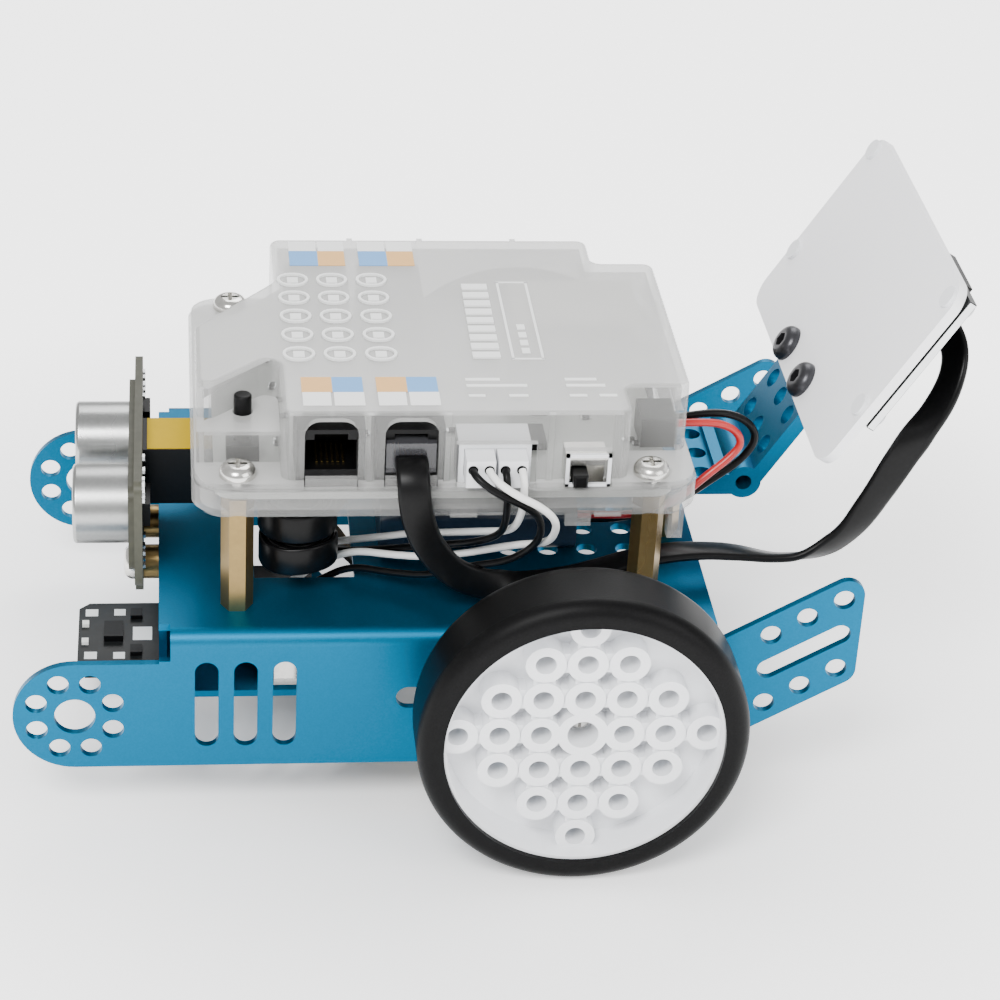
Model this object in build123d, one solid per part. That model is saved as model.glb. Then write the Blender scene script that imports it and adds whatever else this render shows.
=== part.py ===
from build123d import *
import math
import os

# Two wheel robot car. Millimetres, +Z up, floor at Z 0, front of the car towards -X.
# The parts are drawn with the wheel axle over X 0 and are moved by AXLE_X when written, so that
# the origin lies on the floor below the middle of the whole car.
AXLE_X = 13.475

# wheels and drive
AXLE_Z = 32.0
TYRE_R = 32.0
TYRE_W = 16.0
HUB_R = 28.0
WHEEL_OUT_Y = 72.3
WHEEL_IN_Y = WHEEL_OUT_Y - TYRE_W
HEAD_Y = 62.9                   # outer face of the wheel screw's head
STEM_IN_Y = 51.0                # inner end of the hub's stem on the shaft
PITCH = 8.0                     # grid of every row of holes on the kit
BOSS_R = 3.9
BOSS_HOLE_R = 2.0
SHAFT_R = 2.7
SHAFT_FLAT = 3.7

# folded chassis
SHEET = 1.5
SIDE_Y = 46.7
TOP_Z = 42.0
BOTTOM_Z = 11.4
FRONT_X = -80.4
REAR_X = 29.0
BEND_R = 3.0
EAR_X = -96.8
EAR_R = 12.0
EAR_Z = BOTTOM_Z + EAR_R
M4_HOLE_R = 2.1
WING_RISE = 4.0                 # height gained per hole along a wing
WING_STEP = 6.93                # distance gained per hole along a wing
WING_X = 39.5
WING_TOP_Z = 40.5
WING_LOW_Z = 24.5
FRONT_SHELF_Z = 12.2
FRONT_SHELF_X = -45.0

# gear motors
GEARBOX_OUT_Y = SIDE_Y - SHEET - 0.1
GEARBOX_W = 18.8
GEARBOX_H = 14.4
GEARBOX_FRONT_X = -26.0
GEARBOX_REAR_X = 11.0
GEARBOX_WALL = 1.4
GEARBOX_MID_Y = GEARBOX_OUT_Y - GEARBOX_W / 2
CAN_R = 8.2
CAN_FRONT_X = -52.0
GEAR_R = 5.4                    # output gear, crown wheel, small gear and pinion
CROWN_R = 4.9
SMALL_GEAR_R = 2.6
PINION_R = 1.9
CROWN_X = -(GEAR_R + SMALL_GEAR_R + 0.1)
MOTOR_BOLT_X = -21.0
MOTOR_BOLT_DZ = 4.6

# spacers and controller case
POST_X = (-65.2, 14.8)
POST_Y = 35.5
POST_TOP_Z = 67.0
POST_AF = 5.5
BOARD_T = 1.6
CASE_FRONT_X = -74.0
CASE_REAR_X = 24.0
CASE_Y = 40.0
TRAY_Z = 63.5
RIM_Z = 69.8
FLANGE_Z = 71.3
LID_TOP_Z = 86.0
LID_WALL = 1.5
LID_Y = 38.0
NOSE_X = -73.0
POCKET_FRONT_X = -57.0
POCKET_REAR_X = 10.0
LID_REAR_X = 22.8
PORT_X = (-47.5, -32.2)
PORT_W = 10.3
PORT_Z = (72.4, 84.0)
JACK = (13.2, 15.0, 12.5)       # modular jack: width, depth, height
MOTOR_PLUG_X = (-19.1, -12.9)
BUTTON = (-64.0, -22.7, 78.0)

# front sensors
SONAR_X = -83.5
SONAR_Z = 51.8
SONAR_DY = 13.0
SONAR_CAN_R = 8.0
SONAR_CAN_L = 11.0
SONAR_BOLT_Z = 35.0
LINE_Z = FRONT_SHELF_Z
LINE_JACK_X = -48.5
BALL_R = 5.0
BALL_X = -67.0
CASTER_BOLT_Y = 9.0

# rear bracket and tilted light panel
TILT = 58.0
BRACKET_Y = 12.0
BRACKET_T = 3.0
KNUCKLE_X = 38.5
KNUCKLE_Z = 55.2
PANEL_Y = 37.5
PANEL_LEN = 45.0
PANEL_START = 20.0
PANEL_T = 2.0
PANEL_BOARD_T = 1.6
PANEL_GAP = 0.4

# battery pack between the posts
BATTERY = (-36.0, 4.0, -17.0, 25.0, TOP_Z, 52.0)

# cables: radius of each tube, and the routes as points of their centre lines
RIBBON_R = 1.5
WIRE_R = 0.75
LEAD_R = 0.8
PANEL_ROUTE = [(-32.2, -37.6, 75.7), (-32.2, -42.4, 75.5), (-31.6, -44.4, 67.6), (-28.6, -42.6, 58.4),
               (-21.5, -39.0, 49.0), (-10.5, -34.8, 44.6), (2.5, -31.6, 45.2), (17.0, -28.4, 48.4),
               (32.0, -26.8, 48.3), (46.5, -27.6, 45.8), (56.5, -28.4, 51.2), (62.0, -28.8, 61.8),
               (67.0, -29.2, 73.2), (73.2, -28.6, 83.4), (75.8, -24.6, 91.2), (74.4, -17.8, 94.2),
               (73.8, -9.8, 94.5)]
SONAR_ROUTE = [(-53.0, -18.2, 55.6), (-54.4, -11.6, 55.4), (-58.8, -5.0, 54.4), (-62.4, -0.7, 54.8),
               (-66.8, -0.2, 55.0)]
SONAR_PORT_ROUTE = [(-52.0, -18.2, 59.0), (-50.4, -8.0, 60.2), (-49.6, 6.0, 60.6), (-48.0, 20.0, 59.6),
                    (-47.6, 33.0, 58.2), (-47.4, 42.4, 60.0), (-47.5, 46.2, 67.4), (-47.5, 44.0, 74.4),
                    (-47.5, 37.7, 75.7)]
LINE_ROUTE = [(-54.0, -17.9, 49.0), (-52.0, -11.5, 47.4), (-46.0, -6.5, 41.4), (-40.4, -3.6, 33.4),
              (-36.6, -1.4, 25.4), (-40.2, -0.2, 19.4), (-46.5, 0.0, 19.3)]
LINE_PORT_ROUTE = [(-46.2, -21.6, 56.4), (-39.6, -13.0, 58.4), (-35.6, 0.0, 60.2), (-33.6, 14.0, 60.2),
                   (-32.4, 28.0, 58.6), (-32.0, 40.4, 58.6), (-32.2, 46.0, 65.4), (-32.2, 44.2, 74.0),
                   (-32.2, 37.7, 75.7)]
COIL = (-53.0, -26.4, 46.8, 60.6, 7.9)      # centre X and Y, lowest and highest Z, radius
BLACK_ROUTES = [
    [(-20.7, -41.5, 75.2), (-20.4, -43.6, 75.0), (-16.6, -45.2, 72.4), (-11.4, -45.8, 70.2), (-7.8, -44.4, 66.8),
     (-6.8, -42.6, 62.0), (-8.2, -40.4, 57.2), (-12.8, -38.8, 53.2), (-19.4, -36.2, 50.8), (-27.2, -33.2, 46.6),
     (-35.4, -29.4, 45.2), (-42.4, -25.6, 44.4), (-48.0, -23.6, 40.2), (-54.4, -24.6, 36.8),
     (-61.6, -27.6, 34.8), (-64.0, -33.8, 33.6), (-58.4, -35.7, 33.4)],
    [(-14.4, -41.5, 75.2), (-14.3, -43.6, 74.6), (-14.0, -43.4, 70.0), (-13.8, -41.8, 64.4), (-14.4, -39.0, 59.4),
     (-19.0, -35.8, 55.8), (-25.4, -31.6, 52.8), (-32.0, -26.6, 49.2), (-39.0, -21.0, 45.2), (-46.0, -15.8, 42.0),
     (-52.0, -8.6, 38.6), (-56.6, 2.0, 36.8), (-59.4, 13.6, 36.0), (-62.4, 23.4, 34.8),
     (-65.0, 31.6, 33.8), (-58.4, 35.7, 33.4)]]
WHITE_ROUTES = [
    [(-17.5, -41.5, 75.2), (-17.2, -43.6, 74.8), (-13.0, -46.6, 72.8), (-7.8, -47.2, 70.4), (-4.6, -46.0, 66.6),
     (-4.4, -43.2, 61.8), (-5.6, -39.6, 57.8), (-11.0, -35.4, 55.0), (-19.6, -33.4, 52.0), (-27.0, -30.4, 49.2),
     (-34.4, -26.8, 47.6), (-41.6, -22.6, 46.2), (-47.4, -20.0, 42.4), (-54.4, -20.6, 37.4),
     (-62.4, -24.0, 33.6), (-66.4, -31.4, 31.2), (-58.4, -35.7, 30.6)],
    [(-11.2, -41.5, 75.2), (-11.0, -43.6, 74.6), (-10.8, -43.2, 70.0), (-11.0, -41.2, 64.4), (-12.2, -37.6, 59.4),
     (-17.0, -33.6, 57.0), (-23.4, -29.6, 54.4), (-30.0, -25.0, 51.6), (-37.0, -19.4, 47.2), (-44.0, -13.6, 43.0),
     (-50.0, -6.2, 37.4), (-54.2, 3.6, 34.6), (-57.4, 14.4, 33.2), (-61.4, 23.8, 32.0),
     (-66.4, 31.4, 31.2), (-58.4, 35.7, 30.6)]]
RED_ROUTE = [(21.8, -17.4, 72.0), (28.4, -17.2, 72.4), (34.0, -16.6, 70.8), (36.6, -16.4, 67.0),
             (33.8, -17.2, 63.8), (29.0, -18.8, 60.6), (24.0, -19.6, 56.0), (17.2, -18.0, 51.6),
             (10.6, -14.8, 49.2), (4.1, -13.4, 48.8)]
BLACK_LEAD_ROUTE = [(21.8, -15.4, 72.0), (28.8, -14.6, 73.2), (36.4, -13.6, 71.6), (40.4, -13.0, 66.8),
                    (37.4, -13.8, 61.6), (31.0, -15.0, 57.6), (24.6, -15.8, 53.0), (17.0, -14.6, 49.4),
                    (10.6, -11.8, 46.4), (4.1, -10.6, 46.2)]


def block(x0, x1, y0, y1, z0, z1):
    """Box between two corners."""
    middle = Pos((x0 + x1) / 2, (y0 + y1) / 2, (z0 + z1) / 2)
    return middle * Box(abs(x1 - x0), abs(y1 - y0), abs(z1 - z0))


def rod_x(x0, x1, y, z, radius):
    """Cylinder along X."""
    return Pos((x0 + x1) / 2, y, z) * Rot(0, 90, 0) * Cylinder(radius, abs(x1 - x0))


def rod_y(x, y0, y1, z, radius):
    """Cylinder along Y."""
    return Pos(x, (y0 + y1) / 2, z) * Rot(90, 0, 0) * Cylinder(radius, abs(y1 - y0))


def rod_z(x, y, z0, z1, radius):
    """Cylinder along Z."""
    return Pos(x, y, (z0 + z1) / 2) * Cylinder(radius, abs(z1 - z0))


def hex_z(x, y, z0, z1, across_flats):
    """Hexagonal bar along Z."""
    outline = RegularPolygon(across_flats / 2, 6, major_radius=False)
    return Pos(x, y, z0) * extrude(outline, z1 - z0)


def side_plate(face, y_outer, thickness):
    """Extrude an XZ outline, drawn with its X and Y as the car's X and Z, from y_outer inwards."""
    plate = extrude(face, thickness)
    return Pos(0, y_outer, 0) * Rot(90, 0, 0) * plate


def slot_y(x0, x1, z0, z1, y0, y1):
    """Round-ended slot cutter through Y, with its long way along X or Z."""
    length = max(x1 - x0, z1 - z0)
    width = min(x1 - x0, z1 - z0)
    outline = SlotOverall(length, width)
    if z1 - z0 > x1 - x0:
        outline = Rot(0, 0, 90) * outline
    return Pos((x0 + x1) / 2, y1, (z0 + z1) / 2) * Rot(90, 0, 0) * extrude(outline, y1 - y0)


def both_sides(solid):
    """The solid and its mirror image on the other side of the car."""
    return [solid, mirror(solid, Plane.XZ)]


def wing_outline():
    """Sheared rear wing: two rows of holes climbing to the rear, and a slot between them."""
    slope = WING_RISE / WING_STEP
    root_x = REAR_X - 12
    tip_x = WING_X + 2 * WING_STEP + 4.0
    edge = 4.0 / math.cos(math.atan(slope))

    def low(x):
        return WING_LOW_Z + (x - WING_X) * slope - edge

    def high(x):
        return WING_TOP_Z + (x - WING_X) * slope + edge

    start_x = WING_X + (BOTTOM_Z - WING_LOW_Z + edge) / slope
    top_x = WING_X + (TOP_Z - 3 - WING_TOP_Z - edge) / slope
    points = [(root_x, BOTTOM_Z), (start_x, BOTTOM_Z), (tip_x, low(tip_x)), (tip_x, high(tip_x)),
              (top_x, high(top_x)), (root_x, high(top_x))]
    outline = make_face(Polyline(points, close=True))
    tips = [v for v in outline.vertices() if v.X > tip_x - 1]
    return fillet(tips, 3.5)


def wing_cutters():
    """Holes and slot of one wing, as cutters through the near side plate."""
    cutters = []
    for k in range(3):
        for row_z in (WING_TOP_Z, WING_LOW_Z):
            x = WING_X + k * WING_STEP
            cutters.append(rod_y(x, -SIDE_Y - 1, -SIDE_Y + 4, row_z + k * WING_RISE, M4_HOLE_R))
    middle_z = (WING_TOP_Z + WING_LOW_Z) / 2
    length = math.hypot(2 * WING_STEP, 2 * WING_RISE)
    slot = extrude(SlotCenterToCenter(length, 2 * M4_HOLE_R), 6)
    slope = math.degrees(math.atan2(WING_RISE, WING_STEP))
    centre = Pos(WING_X + WING_STEP, -SIDE_Y + 4, middle_z + WING_RISE)
    cutters.append(centre * Rot(90, 0, 0) * Rot(0, 0, slope) * slot)
    return cutters


def chassis_side():
    """Near side of the chassis with its front ear and rear wing."""
    body = make_face(Polyline([(FRONT_X, BOTTOM_Z), (REAR_X, BOTTOM_Z), (REAR_X, TOP_Z - BEND_R),
                               (FRONT_X, TOP_Z - BEND_R)], close=True))
    ear = Pos((EAR_X + FRONT_X) / 2 + 1, EAR_Z) * Rectangle(FRONT_X - EAR_X + 2, 2 * EAR_R)
    lobe = Pos(EAR_X, EAR_Z) * Circle(EAR_R)
    root = Pos(REAR_X - 4, 25.2) * Rectangle(9, 2 * (25.2 - BOTTOM_Z))
    outline = body + ear + lobe + root + wing_outline()
    plate = side_plate(outline, -SIDE_Y + SHEET, SHEET)
    cutters = wing_cutters()
    cutters.append(rod_y(EAR_X, -SIDE_Y - 1, -SIDE_Y + 4, EAR_Z, 4.0))
    for k in range(8):
        angle = math.radians(22.5 + 45 * k)
        x = EAR_X + PITCH * math.cos(angle)
        z = EAR_Z + PITCH * math.sin(angle)
        cutters.append(rod_y(x, -SIDE_Y - 1, -SIDE_Y + 4, z, M4_HOLE_R))
    for k in range(3):
        x = -71.2 + 7.6 * k
        cutters.append(slot_y(x - 2.3, x + 2.3, 16.0, 35.6, -SIDE_Y - 1, -SIDE_Y + 4))
    cutters.append(slot_y(-34.2, -25.0, 24.4, 29.3, -SIDE_Y - 1, -SIDE_Y + 4))
    cutters.append(rod_y(0, -SIDE_Y - 1, -SIDE_Y + 4, AXLE_Z, 5.5))
    for dz in (-MOTOR_BOLT_DZ, MOTOR_BOLT_DZ):
        cutters.append(rod_y(MOTOR_BOLT_X, -SIDE_Y - 1, -SIDE_Y + 4, AXLE_Z + dz, 1.6))
    # relief notch at the end of the bend, above the ear
    cutters.append(block(FRONT_X - 1, FRONT_X + 2.2, -SIDE_Y - 1, -SIDE_Y + 4, 36.0, TOP_Z))
    return plate - cutters


def make_chassis():
    """Inverted U of folded sheet, with a front wall and a shelf under it."""
    length = REAR_X - FRONT_X
    middle_x = (REAR_X + FRONT_X) / 2
    height = TOP_Z - (TOP_Z - BEND_R)
    outer = Pos(middle_x, 0, TOP_Z - BEND_R) * Box(length, 2 * SIDE_Y, 2 * BEND_R)
    outer = fillet(outer.edges().filter_by(Axis.X).sort_by(Axis.Z)[-2:], height)
    inner = Pos(middle_x, 0, TOP_Z - BEND_R - SHEET) * Box(length + 2, 2 * (SIDE_Y - SHEET), 2 * BEND_R)
    inner = fillet(inner.edges().filter_by(Axis.X).sort_by(Axis.Z)[-2:], BEND_R - SHEET)
    lower = block(FRONT_X - 1, REAR_X + 1, -SIDE_Y - 1, SIDE_Y + 1, 0, TOP_Z - BEND_R)
    top = outer - inner - lower
    notch = block(FRONT_X - 1, FRONT_X + 2.2, SIDE_Y - 4.0, SIDE_Y + 1, 30, TOP_Z + 1)
    top = top - both_sides(notch)
    sheet = top + both_sides(chassis_side())
    wall = block(FRONT_X, FRONT_X + SHEET, -39.0, 39.0, FRONT_SHELF_Z, TOP_Z - 0.2)
    wall = fillet(wall.edges().filter_by(Axis.X).sort_by(Axis.Z)[:2], 3.0)
    shelf = block(FRONT_X, FRONT_SHELF_X, -24.0, 24.0, FRONT_SHELF_Z, FRONT_SHELF_Z + SHEET)
    shelf = fillet(shelf.edges().filter_by(Axis.Z).sort_by(Axis.X)[-2:], 5.0)
    sheet = sheet + wall + shelf
    cutters = [block(-61.5, -41.5, -26.0, 26.0, TOP_Z - 4, TOP_Z + 2)]
    cutters.append(block(LINE_JACK_X - JACK[1] - 0.4, LINE_JACK_X + 0.4, -7.2, 7.2,
                         FRONT_SHELF_Z - 1, FRONT_SHELF_Z + 3))
    for x in POST_X:
        for y in (-POST_Y, POST_Y):
            cutters.append(rod_z(x, y, TOP_Z - 4, TOP_Z + 2, M4_HOLE_R))
    for row in range(5):
        for column in (-2, -1, 0, 1, 2):
            x = 22.5 - row * PITCH
            cutters.append(rod_z(x, column * PITCH, TOP_Z - 4, TOP_Z + 2, M4_HOLE_R))
    for y in (-PITCH, PITCH):
        cutters.append(rod_x(FRONT_X - 1, FRONT_X + 4, y, SONAR_BOLT_Z, M4_HOLE_R))
    for y in (-CASTER_BOLT_Y, CASTER_BOLT_Y):
        cutters.append(rod_z(BALL_X, y, FRONT_SHELF_Z - 1, FRONT_SHELF_Z + 3, M4_HOLE_R))
    return sheet - cutters


def gearbox_envelope(y0, y1, inset):
    """Rounded block of a gear motor's housing on the near side."""
    body = block(GEARBOX_FRONT_X + inset, GEARBOX_REAR_X - inset, y0, y1,
                 AXLE_Z - GEARBOX_H / 2 + inset, AXLE_Z + GEARBOX_H / 2 - inset)
    return fillet(body.edges().filter_by(Axis.Y).group_by(Axis.X)[-1], 4.0)


def make_gearbox_halves():
    """Outer and inner halves of the near gear motor's housing."""
    split = -GEARBOX_MID_Y
    outer_y = -GEARBOX_OUT_Y
    inner_y = outer_y + GEARBOX_W
    bolts = [rod_y(MOTOR_BOLT_X, outer_y - 1, inner_y + 1, AXLE_Z + dz, 1.6)
             for dz in (-MOTOR_BOLT_DZ, MOTOR_BOLT_DZ)]
    tubes = [rod_y(MOTOR_BOLT_X, outer_y, inner_y, AXLE_Z + dz, 2.4)
             for dz in (-MOTOR_BOLT_DZ, MOTOR_BOLT_DZ)]
    shaft_way = rod_x(GEARBOX_FRONT_X - 1, GEARBOX_FRONT_X + 3, split, AXLE_Z, 2.0)
    outer = gearbox_envelope(outer_y, split, 0) - gearbox_envelope(outer_y + GEARBOX_WALL, split + 1, GEARBOX_WALL)
    outer = outer + [t & block(-99, 99, outer_y, split, 0, 99) for t in tubes]
    outer = outer - bolts - rod_y(0, outer_y - 1, split, AXLE_Z, SHAFT_R + 0.08) - shaft_way
    inner = gearbox_envelope(split, inner_y, 0) - gearbox_envelope(split - 1, inner_y - GEARBOX_WALL, GEARBOX_WALL)
    inner = inner + [t & block(-99, 99, split, inner_y, 0, 99) for t in tubes]
    inner = inner - bolts - rod_y(0, split, inner_y + 1, AXLE_Z, SHAFT_R + 0.08) - shaft_way
    return outer, inner


def make_motor_can():
    """Flat-sided steel can with its plastic end cap, two solids."""
    y = -GEARBOX_MID_Y
    can = rod_x(CAN_FRONT_X, GEARBOX_FRONT_X, y, AXLE_Z, CAN_R)
    can = can & block(CAN_FRONT_X, GEARBOX_FRONT_X, y - 7.5, y + 7.5, 0, 60)
    can = can - rod_x(CAN_FRONT_X + 0.8, GEARBOX_FRONT_X - 1.5, y, AXLE_Z, 6.6)
    can = can - rod_x(CAN_FRONT_X - 1, GEARBOX_FRONT_X + 1, y, AXLE_Z, 1.5)
    cap = rod_x(CAN_FRONT_X - 6.0, CAN_FRONT_X, y, AXLE_Z, CAN_R - 0.6)
    cap = cap & block(CAN_FRONT_X - 6, CAN_FRONT_X, y - 7.0, y + 7.0, 0, 60)
    cap = cap - rod_x(CAN_FRONT_X - 4.0, CAN_FRONT_X + 1, y, AXLE_Z, 1.5)
    return can, cap


def make_rotor():
    """Motor armature on its shaft, with the pinion inside the gearbox."""
    y = -GEARBOX_MID_Y
    pinion_x = CROWN_X - CROWN_R - 0.2
    shaft = rod_x(CAN_FRONT_X - 3.5, pinion_x - 4.0, y, AXLE_Z, 1.0)
    core = rod_x(CAN_FRONT_X + 4, GEARBOX_FRONT_X - 5, y, AXLE_Z, 5.8)
    pinion = rod_x(pinion_x - 4.0, pinion_x, y, AXLE_Z, PINION_R)
    return shaft + core + pinion


def make_crown_gear():
    """Compound gear between the pinion and the output gear."""
    y = -GEARBOX_MID_Y
    wheel = rod_y(CROWN_X, y - 3.4, y - 2.4, AXLE_Z, CROWN_R)
    hub = rod_y(CROWN_X, y - 6.6, y + 6.6, AXLE_Z, 1.6)
    small = rod_y(CROWN_X, y - 2.5, y + 2.6, AXLE_Z, SMALL_GEAR_R)
    return wheel + hub + small


def make_output_shaft():
    """Wheel shaft with its two flats, the output gear and the press seat of the hub."""
    y = -GEARBOX_MID_Y
    round_bar = rod_y(0, -HEAD_Y + 1.8, -GEARBOX_OUT_Y + GEARBOX_W + 1.0, AXLE_Z, SHAFT_R)
    flats = block(-SHAFT_FLAT / 2, SHAFT_FLAT / 2, -WHEEL_OUT_Y, -STEM_IN_Y + 0.5, 0, 60)
    tail = block(-10, 10, -STEM_IN_Y + 0.5, 0, 0, 60)
    bar = (round_bar & flats) + (round_bar & tail)
    gear = rod_y(0, y - 0.8, y + 2.4, AXLE_Z, GEAR_R)
    return bar + gear - rod_y(0, -WHEEL_OUT_Y, -HEAD_Y + 10.4, AXLE_Z, 1.1)


def make_hub():
    """Pulley wheel: rim, thin disc and a raised lattice of bosses on the grid."""
    y_out = -WHEEL_OUT_Y
    rim = rod_y(0, y_out + 1.2, -WHEEL_IN_Y - 0.5, AXLE_Z, HUB_R + 0.4)
    rim = rim - rod_y(0, y_out - 1, -WHEEL_IN_Y + 1, AXLE_Z, HUB_R - 1.6)
    disc = rod_y(0, y_out + 9.2, y_out + 11.0, AXLE_Z, HUB_R - 1.2)
    bosses = []
    holes = []
    for column in range(-3, 4):
        for row in range(-3, 4):
            if abs(column) + abs(row) <= 3:
                x = column * PITCH
                z = AXLE_Z + row * PITCH
                centre = column == 0 and row == 0
                bosses.append(rod_y(x, y_out + 4.6, y_out + 9.6, z, BOSS_R + (1.0 if centre else 0)))
                if centre:
                    holes.append(rod_y(x, y_out, -HEAD_Y + 1.6, z, 3.0))
                    holes.append(rod_y(x, y_out, -HEAD_Y + 8.4, z, 1.15))
                else:
                    holes.append(rod_y(x, y_out, y_out + 13.0, z, BOSS_HOLE_R))
    stem = rod_y(0, y_out + 9.6, -STEM_IN_Y, AXLE_Z, 5.0)
    bore = rod_y(0, -HEAD_Y + 1.8, -STEM_IN_Y + 1, AXLE_Z, SHAFT_R)
    bore = bore & block(-SHAFT_FLAT / 2, SHAFT_FLAT / 2, y_out, -STEM_IN_Y + 1, 0, 60)
    links = []
    for column in range(-3, 4):
        for row in range(-3, 4):
            here = abs(column) + abs(row) <= 3
            if here and abs(column + 1) + abs(row) <= 3:
                links.append(block(column * PITCH + 3, column * PITCH + 5, y_out + 5.2, y_out + 9.6,
                                   AXLE_Z + row * PITCH - 2.1, AXLE_Z + row * PITCH + 2.1))
            if here and abs(column) + abs(row + 1) <= 3:
                links.append(block(column * PITCH - 2.1, column * PITCH + 2.1, y_out + 5.2, y_out + 9.6,
                                   AXLE_Z + row * PITCH + 3, AXLE_Z + row * PITCH + 5))
    lattice = disc + bosses + links
    lattice = lattice & rod_y(0, y_out, -WHEEL_IN_Y, AXLE_Z, HUB_R - 1.0)
    return rim + lattice + stem - holes - bore


def make_tyre():
    """Smooth rubber tyre with rounded shoulders."""
    outer = rod_y(0, -WHEEL_OUT_Y, -WHEEL_IN_Y, AXLE_Z, TYRE_R)
    outer = fillet(outer.edges().filter_by(GeomType.CIRCLE), 3.2)
    groove = rod_y(0, -WHEEL_OUT_Y - 1, -WHEEL_IN_Y + 1, AXLE_Z, HUB_R - 1.0)
    seat = rod_y(0, -WHEEL_OUT_Y + 1.2, -WHEEL_IN_Y - 0.5, AXLE_Z, HUB_R + 0.4)
    return outer - groove - seat


def make_wheel_screw():
    """Small countersunk-look screw that holds the hub on the shaft."""
    head = rod_y(0, -HEAD_Y, -HEAD_Y + 1.6, AXLE_Z, 2.2)
    head = fillet(head.edges().filter_by(GeomType.CIRCLE).sort_by(Axis.Y)[0], 0.9)
    cross = block(-1.5, 1.5, -HEAD_Y - 0.6, -HEAD_Y + 1.0, AXLE_Z - 0.3, AXLE_Z + 0.3)
    cross = cross + block(-0.3, 0.3, -HEAD_Y - 0.6, -HEAD_Y + 1.0, AXLE_Z - 1.5, AXLE_Z + 1.5)
    shank = rod_y(0, -HEAD_Y + 1.6, -HEAD_Y + 9.4, AXLE_Z, 1.05)
    return head - cross + shank


def pan_screw(length, head_r, head_h, shank_r, recess="cross"):
    """Pan head screw that points down -Z, with the head's seat at Z 0."""
    head = Pos(0, 0, head_h / 2) * Cylinder(head_r, head_h)
    head = fillet(head.edges().filter_by(GeomType.CIRCLE).sort_by(Axis.Z)[-1], head_h * 0.8)
    if recess == "cross":
        arm = head_r * 0.52
        width = head_r * 0.11
        tool = block(-arm, arm, -width, width, head_h * 0.35, head_h + 1)
        tool = tool + block(-width, width, -arm, arm, head_h * 0.35, head_h + 1)
    else:
        tool = hex_z(0, 0, head_h * 0.35, head_h + 1, head_r * 0.72)
    shank = Pos(0, 0, -length / 2) * Cylinder(shank_r, length)
    return head - tool + shank


def make_posts():
    """Four hexagonal brass posts between chassis and controller."""
    posts = []
    for x in POST_X:
        for y in (-POST_Y, POST_Y):
            bar = hex_z(x, y, TOP_Z, POST_TOP_Z, POST_AF)
            posts.append(bar - rod_z(x, y, TOP_Z - 1, POST_TOP_Z + 1, 1.65))
    return posts


def case_outline(inset):
    """Rounded plan outline of the controller case."""
    length = CASE_REAR_X - CASE_FRONT_X - 2 * inset
    middle = (CASE_REAR_X + CASE_FRONT_X) / 2
    return Pos(middle, 0) * RectangleRounded(length, 2 * (CASE_Y - inset), 6.5 - inset)


def lid_outline(inset):
    """Plan outline of the lid's raised body, with its four corner recesses."""
    front = NOSE_X + inset
    rear = LID_REAR_X - inset
    side = LID_Y - inset
    left = POCKET_FRONT_X + inset
    right = POCKET_REAR_X - inset
    slant = 0.42 * inset
    points = [(left, -side), (right, -side), (right, -27.0 + inset), (rear, -27.0 + inset),
              (rear, 27.0 - inset), (right, 27.0 - inset), (right, side), (left, side),
              (left, 18.0 - slant), (front, -2.0 - slant), (front, -28.5 + inset + slant),
              (left - 2.5, -15.5 + inset + slant), (left, -17.5 + inset)]
    outline = make_face(Polyline(points, close=True))
    return outline


def make_lid():
    """Clear case lid: raised body with corner recesses, ports, ribs and flange."""
    body = Pos(0, 0, RIM_Z) * extrude(lid_outline(0), LID_TOP_Z - RIM_Z)
    upright = body.edges().filter_by(Axis.Z)
    body = fillet(upright, 2.2)
    body = fillet(body.faces().sort_by(Axis.Z)[-1].edges(), 1.0)
    shelf = block(NOSE_X, POCKET_FRONT_X + 1, -30.9, -14.0, RIM_Z, BUTTON[2])
    flange = Pos(0, 0, RIM_Z) * extrude(case_outline(0.6), FLANGE_Z - RIM_Z)
    lid = body + shelf + flange
    hollow = Pos(0, 0, RIM_Z - 1) * extrude(lid_outline(LID_WALL), LID_TOP_Z - RIM_Z + 1 - LID_WALL)
    shelf_hollow = block(NOSE_X + LID_WALL, POCKET_FRONT_X, -29.6, -15.0, RIM_Z - 1, BUTTON[2] - LID_WALL)
    lid = lid - hollow - shelf_hollow
    cutters = []
    for x in POST_X:
        for y in (-POST_Y, POST_Y):
            cutters.append(rod_z(x, y, RIM_Z - 1, FLANGE_Z + 1, M4_HOLE_R))
    for side in (-1, 1):
        for x in PORT_X:
            arch = block(x - PORT_W / 2, x + PORT_W / 2, side * (LID_Y - 4), side * (LID_Y + 3),
                         RIM_Z - 1, PORT_Z[1])
            arch = fillet(arch.edges().filter_by(Axis.Y).sort_by(Axis.Z)[-2:], 3.0)
            cutters.append(arch)
    cutters.append(block(-23.6, -8.0, -LID_Y - 1, -LID_Y + 4, RIM_Z - 1, 79.0))
    cutters.append(block(-2.6, 6.6, -LID_Y - 3, -LID_Y + 4, RIM_Z - 1, 77.4))
    cutters.append(block(LID_REAR_X - 4, LID_REAR_X + 1, 4.0, 17.0, RIM_Z - 1, 82.0))
    cutters.append(block(LID_REAR_X - 4, LID_REAR_X + 1, -22.0, -11.0, RIM_Z - 1, 77.5))
    cutters.append(rod_z(BUTTON[0], BUTTON[1], BUTTON[2] - 3, BUTTON[2] + 1, 2.0))
    lid = lid - cutters
    ribs = []
    for x in (-40.2, -25.4, -5.6):
        for side in (-1, 1):
            ribs.append(block(x - 0.6, x + 0.6, side * (LID_Y - 1.0), side * (LID_Y + 0.7),
                              RIM_Z, LID_TOP_Z - 0.2))
    return lid + ribs


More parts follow.
